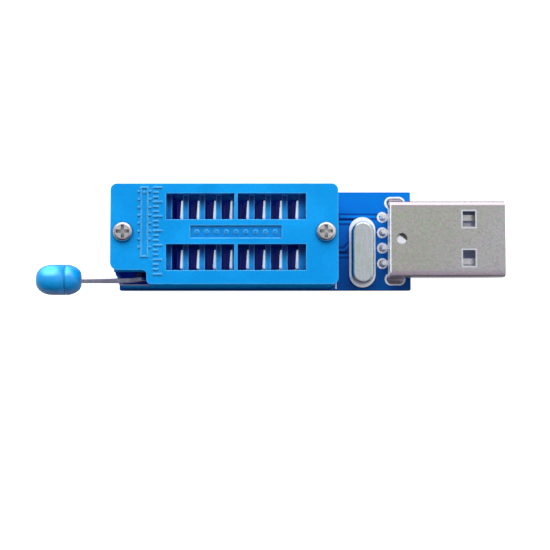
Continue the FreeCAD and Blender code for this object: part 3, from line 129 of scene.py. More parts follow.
class Shader(Nodes):
    """A material under construction. Its lengths are mm; paint() adds to its running colour."""

    def __init__(self, name, colour=None):
        self.material = bpy.data.materials.new(name)
        super().__init__(self.material)
        self.colour = colour
        self.normal = None
        self.output = self.new("ShaderNodeOutputMaterial")
        self.bsdf = self.new("ShaderNodeBsdfPrincipled")
        self.put(self.output.inputs["Surface"], self.bsdf.outputs["BSDF"])
        place = self.new("ShaderNodeTexCoord").outputs["Object"]
        inputs = {0: place, "Scale": 1 / MM}
        self.place = self.new("ShaderNodeVectorMath", inputs, operation="SCALE").outputs["Vector"]

    def set(self, **inputs):
        for key, value in inputs.items():
            self.put(self.bsdf.inputs[key.replace("_", " ")], value)

    def finish(self):
        if self.normal is not None:
            self.set(Normal=self.normal)
        return self.material

    # arithmetic
    def math(self, operation, first, second=0.0, clamp=False):
        inputs = {0: first, 1: second, 2: 0.0}
        node = self.new("ShaderNodeMath", inputs, operation=operation, use_clamp=clamp)
        return node.outputs[0]

    def mul(self, first, *others, clamp=False):
        for other in others:
            first = self.math("MULTIPLY", first, other, clamp)
        return first

    def add(self, first, second, clamp=False):
        return self.math("ADD", first, second, clamp)

    def sub(self, first, second, clamp=False):
        return self.math("SUBTRACT", first, second, clamp)

    def invert(self, value):
        return self.sub(1.0, value)

    def absolute(self, value):
        return self.math("ABSOLUTE", value)

    def maximum(self, first, second):
        return self.math("MAXIMUM", first, second)

    def dot(self, first, second):
        inputs = {0: first, 1: second}
        node = self.new("ShaderNodeVectorMath", inputs, operation="DOT_PRODUCT")
        return node.outputs["Value"]

    def vary(self, middle, noise, amount):
        """A value that follows a noise to either side of its middle."""
        return self.add(middle, self.mul(self.sub(noise, 0.5), amount))

    def band(self, value, first, second):
        """Product of two ramps of one value."""
        return self.mul(self.ramp(value, first), self.ramp(value, second))

    # colour
    def mix(self, amount, under, over):
        inputs = {0: amount, 6: under, 7: over}
        node = self.new("ShaderNodeMix", inputs, data_type="RGBA", clamp_result=True)
        return node.outputs[2]

    def paint(self, colour, where, strength=None):
        """Lays a colour over the running one."""
        if strength is not None:
            where = self.mul(where, strength)
        self.colour = self.mix(where, self.colour, colour)

    # textures
    def noise(self, scale=1.0, detail=3.0, rough=0.55, stretch=None, distortion=0.0, seed=0.0):
        place = self.place
        if stretch:
            node = self.new("ShaderNodeVectorMath", {0: place, 1: stretch}, operation="MULTIPLY")
            place = node.outputs["Vector"]
        if seed:
            inputs = {0: place, 1: (seed, seed * 1.7, -seed)}
            place = self.new("ShaderNodeVectorMath", inputs, operation="ADD").outputs["Vector"]
        inputs = {"Vector": place, "Scale": scale, "Detail": detail, "Roughness": rough,
                  "Distortion": distortion}
        return self.new("ShaderNodeTexNoise", inputs).outputs[0]

    def bump(self, height, strength, depth):
        inputs = {"Strength": strength, "Distance": depth * MM, "Height": height}
        if self.normal is not None:
            inputs["Normal"] = self.normal
        self.normal = self.new("ShaderNodeBump", inputs).outputs["Normal"]

    # the surface's own shape
    def position(self):
        return self.split(self.place)

    def geometry(self, output="Normal"):
        return self.new("ShaderNodeNewGeometry").outputs[output]

    def openness(self, reach):
        """1 in the open, towards 0 in corners and wells."""
        node = self.new("ShaderNodeAmbientOcclusion", {"Distance": reach * MM}, samples=6)
        return node.outputs["AO"]

    def rounded(self, radius, samples):
        node = self.new("ShaderNodeBevel", {"Radius": radius * MM}, samples=samples)
        return node.outputs["Normal"]

    def soft_edge(self, radius):
        self.normal = self.rounded(radius, samples=6)

    def edge_mask(self, radius=0.12, samples=4, gain=2.5):
        """1 near edges, 0 on flats: how far the rounded normal leans from the true one."""
        straight = self.dot(self.rounded(radius, samples), self.geometry())
        return self.mul(self.invert(straight), gain, clamp=True)

    def rect(self, x_span, y_span, soft):
        """1 inside a rectangle seen from above, fading across its outline."""
        x, y, _ = self.position()
        beyond = []
        for value, (low, high) in ((x, x_span), (y, y_span)):
            middle, half = (low + high) / 2, (high - low) / 2
            beyond.append(self.sub(self.absolute(self.sub(value, middle)), half))
        return self.ramp(self.maximum(*beyond), (soft, -soft))


def srgb(*channels):
    """sRGB 0..255 to a linear colour."""
    linear = []
    for value in channels:
        value /= 255.0
        linear.append(value / 12.92 if value <= 0.04045 else ((value + 0.055) / 1.055) ** 2.4)
    return tuple(linear) + (1.0,)


# ---------------------------------------------------------------- moulded plastic
def moulded(name, base, light, dark, rough, grain, edge, wear=0.35, coat=None, well_shade=None,
            reach=None, glow=None, shade=None, edge_light_colour=(0.20, 0.70, 1.0, 1.0), specular=0.22,
            tint=(0.55, 0.85, 1.0, 1.0), finish=None):
    """Plastic with slow tone drift, flow lines, fine grain, a few scuffs, and paler edges: partly
    wear, partly a painted highlight.

    The corner colour paints shade into corners and wells, with reach in mm; glow makes that painted
    shade glow. wear: strength of the paler edges.
    shade, finish: painted shade under the wells, and painted light over everything. coat: the clear
    coat's values.
    """
    tree = Shader(name, base)
    tree.soft_edge(edge)
    drift = tree.noise(scale=0.11, detail=3.0, rough=0.5, distortion=0.6)
    fine = tree.noise(scale=2.2, detail=5.0, rough=0.6, seed=3.0)
    speck = tree.noise(scale=9.0, detail=2.0, rough=0.5, seed=11.0)
    tree.paint(light, tree.ramp(drift, (0.35, 0.68)))
    tree.paint(dark, tree.ramp(fine, (0.42, 0.72), to=(0.0, 0.42)))
    flow = tree.noise(stretch=(0.10, 1.3, 0.6), detail=4.0, rough=0.6, seed=5.0)
    tree.paint(light, tree.ramp(flow, (0.50, 0.72), to=(0.0, 0.20)))
    tree.paint(dark, tree.ramp(speck, (0.56, 0.72), to=(0.0, 0.22)))
    # paler edges: partly wear, partly a painted highlight
    wear_and_edge_light = tree.edge_mask(radius=0.24, samples=6, gain=14.0)
    patchy = tree.noise(scale=1.1, detail=4.0, rough=0.7, seed=8.0)
    wear_and_edge_light = tree.mul(wear_and_edge_light, tree.ramp(patchy, (0.25, 0.60), to=(0.45, 1.0)), clamp=True)
    if shade:
        shade(tree)
    outside = 1.0
    # painted shade in corners and wells, with a painted glow in the same colour
    if well_shade is not None:
        openness = tree.openness(reach)
        open_sky = tree.ramp(openness, (0.18, 0.80), smooth=False)
        tree.colour = tree.mix(open_sky, well_shade, tree.colour)
        outside = tree.ramp(openness, (0.22, 0.62))
        tree.set(Emission_Color=well_shade, Emission_Strength=tree.mul(tree.invert(open_sky), glow))
    tree.paint(edge_light_colour, tree.mul(wear_and_edge_light, wear, outside))
    if finish:
        finish(tree)

    facing = tree.new("ShaderNodeLayerWeight").outputs["Facing"]
    calm = tree.ramp(facing, (0.70, 0.92), to=(1.0, 0.0))  # no highlight at grazing angles
    scuff = tree.noise(stretch=(0.35, 6.0, 2.0), detail=6.0, rough=0.75, seed=21.0)
    scuff = tree.ramp(scuff, (0.66, 0.74))
    roughness = tree.vary(rough, fine, amount=0.22)
    roughness = tree.add(roughness, tree.mul(scuff, 0.12))
    roughness = tree.add(roughness, tree.mul(wear_and_edge_light, -0.08), clamp=True)
    tree.set(Base_Color=tree.colour, Roughness=roughness, IOR=1.49,
             Specular_IOR_Level=tree.mul(calm, specular), Specular_Tint=tint)
    if coat:
        weight = tree.mul(tree.ramp(facing, (0.72, 0.95), to=(1.0, 0.25)), coat["weight"])
        tree.set(Coat_Weight=weight, Coat_Roughness=coat["rough"], Coat_IOR=coat["ior"],
                 Coat_Tint=coat["tint"])
    tree.bump(speck, strength=0.16 * grain, depth=0.04)
    tree.bump(fine, strength=0.26 * grain, depth=0.07)
    tree.bump(flow, strength=0.10, depth=0.08)
    return tree.finish()


def cover_shade(tree):
    """Painted shade: all grille bars a little darker, darker still in the shadow of each window's
    rear wall, and a darker label floor.
    """
    _, y, z = tree.position()
    grille = tree.mul(tree.band(z, (9.75, 9.35), (7.4, 7.7)),
                      tree.rect((-53.25, -31.70), (-5.92, 6.02), soft=0.03))
    # the rear wall is at y = -1.85 in the front window and 7.80 further back in the rear one
    in_rear = tree.math("GREATER_THAN", y, 0.0)
    wall_y = tree.add(tree.mul(in_rear, 7.80), -1.85)
    from_wall = tree.mul(tree.sub(wall_y, y), 0.25)
    lit = tree.ramp(from_wall, (0.05, 0.72), to=(0.05, 0.90))
    dim = tree.mul(grille, tree.invert(lit))
    tree.paint(srgb(24, 142, 206), grille, strength=0.6)
    tree.paint(srgb(0, 34, 118), dim)
    # painted shade on the recessed label floor
    label = tree.mul(tree.rect((-49.55, -35.45), (-0.96, 1.06), soft=0.05),
                     tree.ramp(z, (10.22, 10.10)))
    tree.paint(srgb(0, 116, 204), label, strength=0.55)


def base_notch_highlight(tree):
    """Painted highlight on the low rim round the lever's notch and on the top of the ledge in front
    of it, white along the ledge's rear edge.
    """
    _, y, z = tree.position()
    _, _, normal_z = tree.split(tree.geometry("True Normal"))
    notch = tree.mul(tree.rect((-61.7, -49.5), (-7.75, -5.6), soft=0.03),
                     tree.ramp(normal_z, (0.5, 0.9)))
    rim = tree.mul(notch, tree.band(z, (3.30, 3.37), (3.60, 3.50)))
    lip_top = tree.mul(notch, tree.band(z, (2.95, 3.03), (3.26, 3.18)))
    tree.paint(srgb(90, 190, 250), lip_top, strength=0.8)
    tree.paint(srgb(255, 255, 255), tree.mul(lip_top, tree.ramp(y, (-7.50, -7.42))))
    tree.paint(srgb(40, 130, 210), rim, strength=0.35)


def knob_painted_light(tree):
    """A polished grip with painted light: a painted highlight on its upper side, painted shade at the
    front, and painted shade in the groove.
    """
    normal = tree.geometry()
    up = tree.dot(normal, (-0.10, 0.60, 0.79))
    front = tree.dot(normal, (0.0, -1.0, -0.1))
    tree.paint(srgb(96, 232, 255), tree.ramp(up, (0.84, 0.995)), strength=0.80)
    tree.paint(srgb(0, 96, 176), tree.ramp(front, (0.45, 1.0)), strength=0.75)
    x, _, _ = tree.position()
    groove = tree.invert(tree.ramp(tree.absolute(tree.add(x, 69.30)), (0.07, 0.15)))
    tree.paint(srgb(0, 70, 140), groove, strength=0.42)


# painted shade colour for the socket's wells and voids
NAVY = srgb(0, 10, 84)

cover_plastic = moulded(
    "plastic_cover", base=srgb(0, 150, 231), light=srgb(10, 163, 246), dark=srgb(0, 134, 217),
    rough=0.42, grain=0.9, edge=0.12, wear=0.6, well_shade=srgb(0, 56, 134), reach=2.2, glow=0.10,
    shade=cover_shade, specular=0.2)
base_plastic = moulded(
    "plastic_base", base=srgb(0, 142, 224), light=srgb(4, 154, 236), dark=srgb(0, 122, 206),
    rough=0.45, grain=0.9, edge=0.10, wear=0.85, well_shade=NAVY, reach=3.2, glow=0.80,
    edge_light_colour=(0.25, 0.72, 1.0, 1.0), specular=0.2, finish=base_notch_highlight)
knob_plastic = moulded(
    "plastic_knob", base=srgb(0, 156, 236), light=srgb(8, 170, 246), dark=srgb(0, 140, 224),
    rough=0.40, grain=0.3, edge=0.16, wear=0.10, specular=0.12, tint=(0.75, 0.95, 1.0, 1.0),
    coat={"weight": 0.5, "rough": 0.22, "ior": 1.9, "tint": (0.86, 1.0, 1.0, 1.0)},
    finish=knob_painted_light)
# the slider sits inside the socket: painted shade in its wells, with a strong painted glow
slider_plastic = moulded(
    "plastic_slider", base=srgb(0, 40, 140), light=srgb(0, 50, 156), dark=srgb(0, 30, 116),
    rough=0.5, grain=0.9, edge=0.08, well_shade=NAVY, reach=3.0, glow=0.95)


# ---------------------------------------------------------------- metals
def metal(name, base, light, dark, rough, speckle, brush=None, edge=0.0, grain_scale=7.0,
          tarnish=0.25, well_shade=None, reach=None, matt=0.0, glow=None):
    """Plated or bare metal: blasted or brushed grain, cloudy tarnish, brighter edges (partly rubbed,
    partly a painted highlight), optional painted shade in wells and a painted glow.
    """
    tree = Shader(name, base)
    if edge:
        tree.soft_edge(edge)
    cloud = tree.noise(scale=0.45, detail=4.0, rough=0.6, distortion=0.4)
    grain = tree.noise(scale=grain_scale, detail=4.0, rough=0.7, seed=4.0)
    tree.paint(light, tree.ramp(cloud, (0.35, 0.7)))
    tree.paint(dark, tree.ramp(grain, (0.46, 0.78), to=(0.0, speckle)))
    stain = tree.noise(scale=0.9, detail=5.0, rough=0.7, seed=9.0)
    stain = tree.ramp(stain, (0.56, 0.74), to=(0.0, tarnish))
    tree.paint(dark, stain)
    roughness = tree.vary(rough, grain, amount=0.30)
    roughness = tree.add(roughness, tree.mul(stain, 0.3), clamp=True)
    # brighter edges: partly rubbed, partly a painted highlight
    if edge:
        wear_and_edge_light = tree.edge_mask()
        tree.paint(light, wear_and_edge_light, strength=0.5)
        roughness = tree.sub(roughness, tree.mul(wear_and_edge_light, 0.1), clamp=True)
    # painted shade in wells
    if well_shade is not None:
        open_sky = tree.ramp(tree.openness(reach), (0.15, 0.85), smooth=False)
        tree.colour = tree.mix(open_sky, well_shade, tree.colour)
    tree.set(Base_Color=tree.colour, Metallic=1.0 - matt, Roughness=roughness)
    # painted glow: the metal gives off light in its own colour
    if glow:
        tree.set(Emission_Color=tree.colour, Emission_Strength=glow)
    if brush:
        lines = tree.noise(stretch=brush, detail=5.0, rough=0.7, seed=2.0)
        tree.bump(lines, strength=0.25, depth=0.04)
    tree.bump(grain, strength=0.18 * (0.4 + speckle), depth=0.04)
    return tree.finish()


def shell_material():
    """Nickel-plated sheet: pebbled surface, warm and cool patches; a painted highlight round the
    windows and along the board end, painted reflections on the bends and the walls' foot, and a
    painted dark reflection on the bends' outer part and upper walls.
    """
    tree = Shader("nickel_sheet", srgb(196, 199, 184))
    x, y, z = tree.position()
    patch = tree.noise(scale=0.13, detail=3.0, rough=0.5, distortion=0.8)
    pebbles = tree.noise(scale=2.6, detail=4.0, rough=0.72, seed=4.0)
    grit = tree.noise(scale=6.5, detail=3.0, rough=0.7, seed=14.0)
    hue = tree.noise(scale=1.25, detail=4.0, rough=0.7, seed=24.0)
    along = tree.ramp(tree.add(x, tree.mul(y, -0.9)), (-14.0, 1.0))
    tree.paint(srgb(212, 208, 218), along)
    tree.paint(srgb(206, 208, 198), tree.ramp(patch, (0.35, 0.65), to=(0.0, 0.5)))
    tree.paint(srgb(186, 200, 178), tree.ramp(hue, (0.46, 0.60), to=(0.0, 0.55)))
    tree.paint(srgb(206, 184, 198), tree.ramp(hue, (0.54, 0.40), to=(0.0, 0.50)))
    tree.paint(srgb(150, 152, 146), tree.ramp(pebbles, (0.46, 0.66), to=(0.0, 0.46)))
    tree.paint(srgb(230, 232, 224), tree.ramp(grit, (0.54, 0.34), to=(0.0, 0.42)))
    # painted highlight on the top face round each window, and a pinkish band beside each bend
    for side in (1, -1):
        middle = WINDOW_Y * side
        window = tree.rect((-6.98, -4.52), (middle - 1.50, middle + 1.50), soft=0.06)
        tree.paint(srgb(244, 248, 255), tree.mul(window, tree.ramp(z, (1.9, 2.1))))
        from_line = tree.absolute(tree.sub(y, 5.45 * side))
        near = tree.invert(tree.ramp(from_line, (0.0, 0.9)))
        tree.paint(srgb(196, 176, 196), near, strength=0.45)
    # painted highlight along the board end of the shell, also made matt
    painted_end_highlight = tree.ramp(x, (-18.02, -18.14))
    tree.paint(srgb(250, 251, 255), painted_end_highlight)
    _, normal_y, _ = tree.split(tree.geometry())
    lean = tree.absolute(normal_y)  # 0 on top, 1 on the side walls
    bend = tree.band(lean, (0.05, 0.35), (0.90, 0.74))
    wall = tree.ramp(lean, (0.90, 0.97))
    painted_dark_band = tree.maximum(tree.band(lean, (0.74, 0.86), (0.97, 0.92)),
                          tree.mul(wall, tree.ramp(z, (1.15, 1.65))))
    painted_foot_reflection = tree.mul(wall, tree.ramp(z, (-0.2, -0.9)))
    # painted reflections on the bends and the walls' foot, and a painted dark reflection on the
    # bends' outer part and the upper walls
    tree.paint(srgb(228, 208, 222), bend, strength=0.85)
    tree.paint(srgb(18, 22, 62), painted_dark_band, strength=0.95)
    tree.paint(srgb(246, 248, 255), painted_foot_reflection, strength=0.55)
    matt = tree.maximum(painted_end_highlight, tree.maximum(tree.mul(bend, 0.95), tree.mul(painted_foot_reflection, 0.4)))
    tree.set(Base_Color=tree.colour, Metallic=tree.invert(tree.mul(matt, 0.75)),
             Roughness=tree.vary(0.30, pebbles, amount=0.30))
    tree.bump(pebbles, strength=0.35, depth=0.06)
    tree.bump(grit, strength=0.30, depth=0.04)
    return tree.finish()


def can_material():
    """Drawn nickel can: brushed along its length; painted light on the right wall, painted shade on
    the front and left walls, a painted white highlight and faint painted glow on the rim flange,
    painted shade where the can meets it.
    """
    tree = Shader("crystal_nickel", srgb(216, 226, 220))
    _, _, z = tree.position()
    normal_x, normal_y, _ = tree.split(tree.geometry())
    lines = tree.noise(stretch=(5.5, 0.35, 1.0), detail=5.0, rough=0.7, seed=2.0)
    ripple = tree.noise(stretch=(0.5, 3.6, 1.0), detail=3.0, rough=0.6, seed=31.0)
    cloud = tree.noise(scale=0.5, detail=3.0, rough=0.6, seed=5.0)
    tree.paint(srgb(226, 232, 242), tree.ramp(cloud, (0.35, 0.68)))
    tree.paint(srgb(168, 182, 176), tree.ramp(lines, (0.40, 0.70), to=(0.0, 0.50)))
    tree.paint(srgb(236, 240, 250), tree.ramp(ripple, (0.45, 0.70), to=(0.0, 0.35)))
    stain = tree.noise(scale=0.9, detail=5.0, rough=0.7, seed=9.0)
    tree.paint(srgb(188, 178, 180), tree.ramp(stain, (0.58, 0.74), to=(0.0, 0.15)))
    flange = tree.ramp(z, (-1.36, -1.46))
    # painted light on the right wall, painted shade on the front and left walls
    walls = (  # normal component, its span, strength, colour: right, front, left
        (normal_x, (0.20, 0.55), 0.8, srgb(250, 252, 244)),
        (normal_y, (-0.30, -0.65), 0.7, srgb(120, 108, 136)),
        (normal_x, (-0.55, -0.80), 0.9, srgb(18, 30, 74)))
    for component, span, strength, colour in walls:
        wall = tree.mul(tree.ramp(component, span), tree.invert(flange))
        tree.paint(colour, wall, strength)
    # painted white highlight on the flange, with a faint painted glow set below
    tree.paint(srgb(250, 252, 255), flange)
    # painted shade where the can meets the flange
    corner = tree.mul(tree.ramp(tree.openness(reach=0.6), (0.85, 0.30)),
                      tree.ramp(flange, (0.0, 1.0), to=(1.0, 0.25)))
    tree.paint(srgb(40, 50, 92), corner)
    tree.set(Emission_Color=(0.9, 0.95, 1.0, 1.0), Emission_Strength=tree.mul(flange, 0.10),
             Base_Color=tree.colour, Metallic=tree.invert(tree.mul(flange, 0.65)),
             Roughness=tree.ramp(lines, (0.2, 0.8), to=(0.18, 0.34)))
    tree.bump(lines, strength=0.22, depth=0.04)
    tree.bump(ripple, strength=0.12, depth=0.05)
    return tree.finish()


def solder_material():
    """Bright solder with a faint cell pattern and pinkish flux stains."""
    tree = Shader("solder", srgb(226, 230, 240))
    cloud = tree.noise(scale=1.6, detail=5.0, rough=0.65)
    inputs = {"Vector": tree.place, "Scale": 7.0}
    cells = tree.new("ShaderNodeTexVoronoi", inputs).outputs["Distance"]
    tree.paint(srgb(250, 252, 255), tree.ramp(cloud, (0.35, 0.7)))
    tree.paint(srgb(110, 108, 104), tree.ramp(cells, (0.05, 0.0), to=(0.0, 0.5)))
    flux = tree.noise(scale=1.1, detail=4.0, rough=0.6, seed=6.0)
    tree.paint(srgb(206, 180, 190), tree.ramp(flux, (0.6, 0.72), to=(0.0, 0.35)))
    tree.set(Base_Color=tree.colour, Metallic=0.7,
             Roughness=tree.ramp(cloud, (0.3, 0.75), to=(0.22, 0.42)))
    tree.bump(cloud, strength=0.18, depth=0.05)
    tree.bump(cells, strength=0.06, depth=0.02)
    return tree.finish()


shell_nickel = shell_material()
can_nickel = can_material()
flange_metal = metal(
    "crystal_flange", base=srgb(244, 247, 252), light=srgb(255, 255, 255),
    dark=srgb(170, 176, 184), rough=0.34, speckle=0.20, grain_scale=6.0, tarnish=0.06, matt=0.70)
lever_steel = metal(
    "lever_steel", base=srgb(146, 148, 172), light=srgb(186, 186, 208), dark=srgb(70, 66, 88),
    rough=0.30, speckle=0.35, brush=(0.5, 9.0, 9.0), edge=0.06, tarnish=0.35)
blued_steel = metal(
    "blued_steel", base=srgb(24, 28, 62), light=srgb(52, 56, 92), dark=srgb(10, 12, 36),
    rough=0.34, speckle=0.3, brush=(8.0, 0.6, 8.0), edge=0.05)
screw_nickel = metal(
    "screw_nickel", base=srgb(206, 206, 212), light=srgb(250, 248, 250),
    dark=srgb(112, 100, 106), rough=0.15, speckle=0.4, edge=0.05, grain_scale=5.0, tarnish=0.5,
    well_shade=srgb(46, 36, 42), reach=0.9)
# the contacts carry a faint painted glow
contact_tin = metal(
    "contact_tin", base=srgb(206, 230, 250), light=srgb(238, 250, 255), dark=srgb(150, 170, 206),
    rough=0.34, speckle=0.3, grain_scale=9.0, tarnish=0.15, matt=0.45, glow=0.12)
# moving beams: tin painted dark navy as in the cavity's shade, with a painted glow
shaded_tin = metal(
    "contact_tin_shaded", base=srgb(4, 8, 84), light=srgb(8, 14, 104), dark=srgb(0, 2, 62),
    rough=0.5, speckle=0.4, grain_scale=9.0, tarnish=0.4, matt=0.9, glow=0.42)
usb_tin = metal(
    "usb_contact_tin", base=srgb(240, 240, 248), light=srgb(255, 255, 255),
    dark=srgb(176, 174, 188), rough=0.24, speckle=0.2, edge=0.03, grain_scale=9.0, tarnish=0.15,
    matt=0.4)
tinned = metal(
    "tinned_lead", base=srgb(226, 228, 238), light=srgb(246, 248, 255), dark=srgb(150, 152, 164),
    rough=0.28, speckle=0.3, grain_scale=8.0, matt=0.35)
solder = solder_material()
pad_tin = metal(
    "pad_tin", base=srgb(248, 250, 255), light=srgb(255, 255, 255), dark=srgb(196, 200, 214),
    rough=0.36, speckle=0.2, grain_scale=8.0, tarnish=0.08, matt=0.75)
pin_solder = metal(
    "solder_pin", base=srgb(176, 180, 200), light=srgb(236, 240, 252), dark=srgb(54, 60, 96),
    rough=0.22, speckle=0.55, grain_scale=2.6, tarnish=0.4)
dull_solder = metal(
    "solder_dull", base=srgb(146, 136, 146), light=srgb(190, 184, 196), dark=srgb(66, 54, 70),
    rough=0.34, speckle=0.5, grain_scale=2.2, tarnish=0.5)


# ---------------------------------------------------------------- resins, ceramics and glass
def insulator_material():
    """Off-white moulded plastic, slate-toned where the metal shell shades it."""
    tree = Shader("insulator_white", srgb(236, 238, 244))
    tree.soft_edge(0.05)
    x, y, _ = tree.position()
    grain = tree.noise(scale=4.0, detail=5.0, rough=0.65)
    tree.paint(srgb(212, 214, 224), tree.ramp(grain, (0.35, 0.7)))
    open_sky = tree.ramp(tree.openness(reach=2.2), (0.05, 0.55))
    tree.colour = tree.mix(open_sky, srgb(84, 96, 136), tree.colour)
    # painted shadow seen through the shell's round hole: a square patch near the shell's board end,
    # dark on one side of a slanted line
    slant = tree.add(tree.mul(tree.add(x, 16.4), 0.62), tree.mul(y, 0.78))
    patch = tree.rect((-17.6, -15.2), (-1.2, 1.2), soft=0.05)
    tree.paint(srgb(74, 76, 72), tree.mul(patch, tree.ramp(slant, (0.14, 0.34))))
    for side in (1, -1):
        middle = WINDOW_Y * side
        inside = tree.rect((-7.1, -4.4), (middle - 1.6, middle + 1.6), soft=0.05)
        shaded = tree.maximum(tree.ramp(tree.sub(y, middle), (-0.55, -0.25)),
                              tree.ramp(x, (-5.20, -4.98)))
        tree.paint(srgb(126, 142, 196), tree.mul(inside, shaded), strength=0.85)
    tree.paint(srgb(246, 248, 252), tree.edge_mask(), strength=0.35)
    tree.set(Base_Color=tree.colour, Roughness=tree.ramp(grain, (0.2, 0.8), to=(0.34, 0.54)))
    tree.bump(grain, strength=0.2, depth=0.04)
    return tree.finish()


def resin(name, base, light, dark, rough, grain_scale, relief):
    """Grained resin, ceramic or glaze with paler edges."""
    tree = Shader(name, base)
    tree.soft_edge(0.05)
    grain = tree.noise(scale=grain_scale, detail=5.0, rough=0.65)
    cloud = tree.noise(scale=0.5, detail=3.0, rough=0.5, seed=7.0)
    tree.paint(dark, tree.ramp(grain, (0.35, 0.7)))
    tree.paint(light, tree.ramp(cloud, (0.45, 0.7), to=(0.0, 0.5)))
    tree.paint(light, tree.edge_mask(), strength=0.35)
    roughness = tree.ramp(grain, (0.2, 0.8), to=(rough - 0.1, rough + 0.12))
    tree.set(Base_Color=tree.colour, Roughness=roughness)
    tree.bump(grain, strength=relief, depth=0.04)
    return tree.finish()


def glassy(name, tint, rough, transmission):
    """Slightly uneven tinted glass."""
    tree = Shader(name, tint)
    tree.soft_edge(0.04)
    uneven = tree.noise(scale=3.0, detail=4.0, rough=0.6)
    darker = tuple(channel * 0.8 for channel in tint[:3]) + (1,)
    tree.paint(darker, tree.ramp(uneven, (0.4, 0.7)))
    roughness = tree.ramp(uneven, (0.2, 0.8), to=(rough, rough + 0.12))
    tree.set(Base_Color=tree.colour, Roughness=roughness, Transmission_Weight=transmission,
             IOR=1.5)
    tree.bump(uneven, strength=0.12, depth=0.03)
    return tree.finish()


insulator = insulator_material()
chip_epoxy = resin(
    "chip_epoxy", base=srgb(30, 30, 31), light=srgb(58, 58, 60), dark=srgb(18, 18, 19),
    rough=0.62, grain_scale=12.0, relief=0.5)
ceramic = resin(
    "capacitor_ceramic", base=srgb(150, 112, 74), light=srgb(178, 140, 100),
    dark=srgb(116, 82, 52), rough=0.5, grain_scale=9.0, relief=0.25)
resistor_glaze = resin(
    "resistor_glaze", base=srgb(24, 25, 30), light=srgb(60, 62, 70), dark=srgb(12, 12, 16),
    rough=0.22, grain_scale=5.0, relief=0.1)
led_base = resin(
    "led_base", base=srgb(226, 224, 212), light=srgb(240, 238, 230), dark=srgb(196, 192, 176),
    rough=0.45, grain_scale=8.0, relief=0.2)
seal_glass = glassy("seal_glass", tint=srgb(96, 120, 112), rough=0.12, transmission=0.5)
quartz = glassy("quartz", tint=srgb(226, 232, 230), rough=0.10, transmission=0.8)
led_lens = glassy("led_lens", tint=srgb(232, 150, 130), rough=0.10, transmission=0.6)


# ---------------------------------------------------------------- board surfaces
def mask_material(name, base, light, dark, sawn_edge=False):
    """Glossy solder mask with drift, dust and faint weave, painted light towards the rear and painted
    shade towards the front; optionally a layered sawn edge, painted dark as in shade.
    """
    tree = Shader(name, base)
    x, y, z = tree.position()
    cloud = tree.noise(scale=0.22, detail=4.0, rough=0.55, distortion=0.5)
    fine = tree.noise(scale=3.0, detail=5.0, rough=0.65, seed=5.0)
    threads = [tree.math("SINE", tree.mul(value, 11.0)) for value in (x, y)]
    weave = tree.mul(*threads)
    tree.paint(light, tree.ramp(cloud, (0.3, 0.7)))
    tree.paint(dark, tree.ramp(fine, (0.5, 0.8), to=(0.0, 0.30)))
    # painted light towards the rear of the board, painted shade towards the front
    pale = (light[0], light[1] * 1.25, light[2] * 1.12, 1)
    for colour, span, amount in ((pale, (2.0, 8.5), 0.75), (dark, (1.0, -6.5), 0.7)):
        cloudy_y = tree.add(y, tree.mul(cloud, 3.0))
        tree.paint(colour, tree.ramp(cloudy_y, span, to=(0.0, amount)))
    roughness = tree.vary(0.26, fine, amount=0.25)
    specular, coat = 0.12, 0.08
    if sawn_edge:
        _, _, normal_z = tree.split(tree.geometry("True Normal"))
        side = tree.invert(tree.ramp(tree.absolute(normal_z), (0.3, 0.6)))
        layers = tree.ramp(tree.math("SINE", tree.mul(z, 26.0)), (-0.2, 0.6))
        # the sawn edge is painted in dark navy layers, as in shade
        sawn = tree.mix(layers, srgb(2, 30, 88), srgb(10, 54, 124))
        fray = tree.noise(scale=2.0, detail=5.0, rough=0.7, seed=12.0)
        sawn = tree.mix(tree.ramp(fray, (0.45, 0.65)), sawn, srgb(4, 34, 84))
        tree.paint(sawn, side)
        specular = tree.ramp(side, (0.0, 1.0), to=(specular, 0.0))
        coat = tree.ramp(side, (0.0, 1.0), to=(coat, 0.0))
        roughness = tree.add(roughness, tree.mul(side, 0.4), clamp=True)
    tree.set(Base_Color=tree.colour, Roughness=roughness, IOR=1.5, Specular_IOR_Level=specular,
             Coat_Weight=coat, Coat_Roughness=0.12, Specular_Tint=(0.4, 0.75, 1.0, 1.0))
    tree.bump(weave, strength=0.05, depth=0.01)
    tree.bump(fine, strength=0.10, depth=0.02)
    return tree.finish()


def ink_material():
    """White printing ink, rubbed through to blue in places."""
    tree = Shader("printed_ink", srgb(240, 242, 244))
    grain = tree.noise(scale=4.0, detail=5.0, rough=0.7)
    tree.paint(srgb(206, 214, 224), tree.ramp(grain, (0.35, 0.75)))
    wear = tree.noise(scale=1.4, detail=4.0, rough=0.7, seed=4.0)
    tree.paint(srgb(120, 160, 220), tree.ramp(wear, (0.62, 0.74), to=(0.0, 0.6)))
    tree.set(Base_Color=tree.colour, Roughness=tree.ramp(grain, (0.2, 0.8), to=(0.45, 0.7)))
    tree.bump(grain, strength=0.2, depth=0.01)
    return tree.finish()


copper_mask = mask_material("mask_over_copper", base=srgb(0, 108, 204), light=srgb(0, 120, 218),
                            dark=srgb(0, 86, 176))
laminate_mask = mask_material("mask_over_laminate", base=srgb(0, 58, 140),
                              light=srgb(0, 66, 154), dark=srgb(0, 46, 116))
board_mask = mask_material("solder_mask", base=srgb(0, 98, 190), light=srgb(0, 110, 208),
                           dark=srgb(0, 74, 158), sawn_edge=True)
ink = ink_material()


# ---------------------------------------------------------------- looks of the CAD pieces
def add_bevel(obj, width, segments=2):
    bevel = obj.modifiers.new("round", "BEVEL")
    bevel.width = width * MM
    bevel.segments = segments
    bevel.limit_method = "ANGLE"
    bevel.angle_limit = math.radians(40)


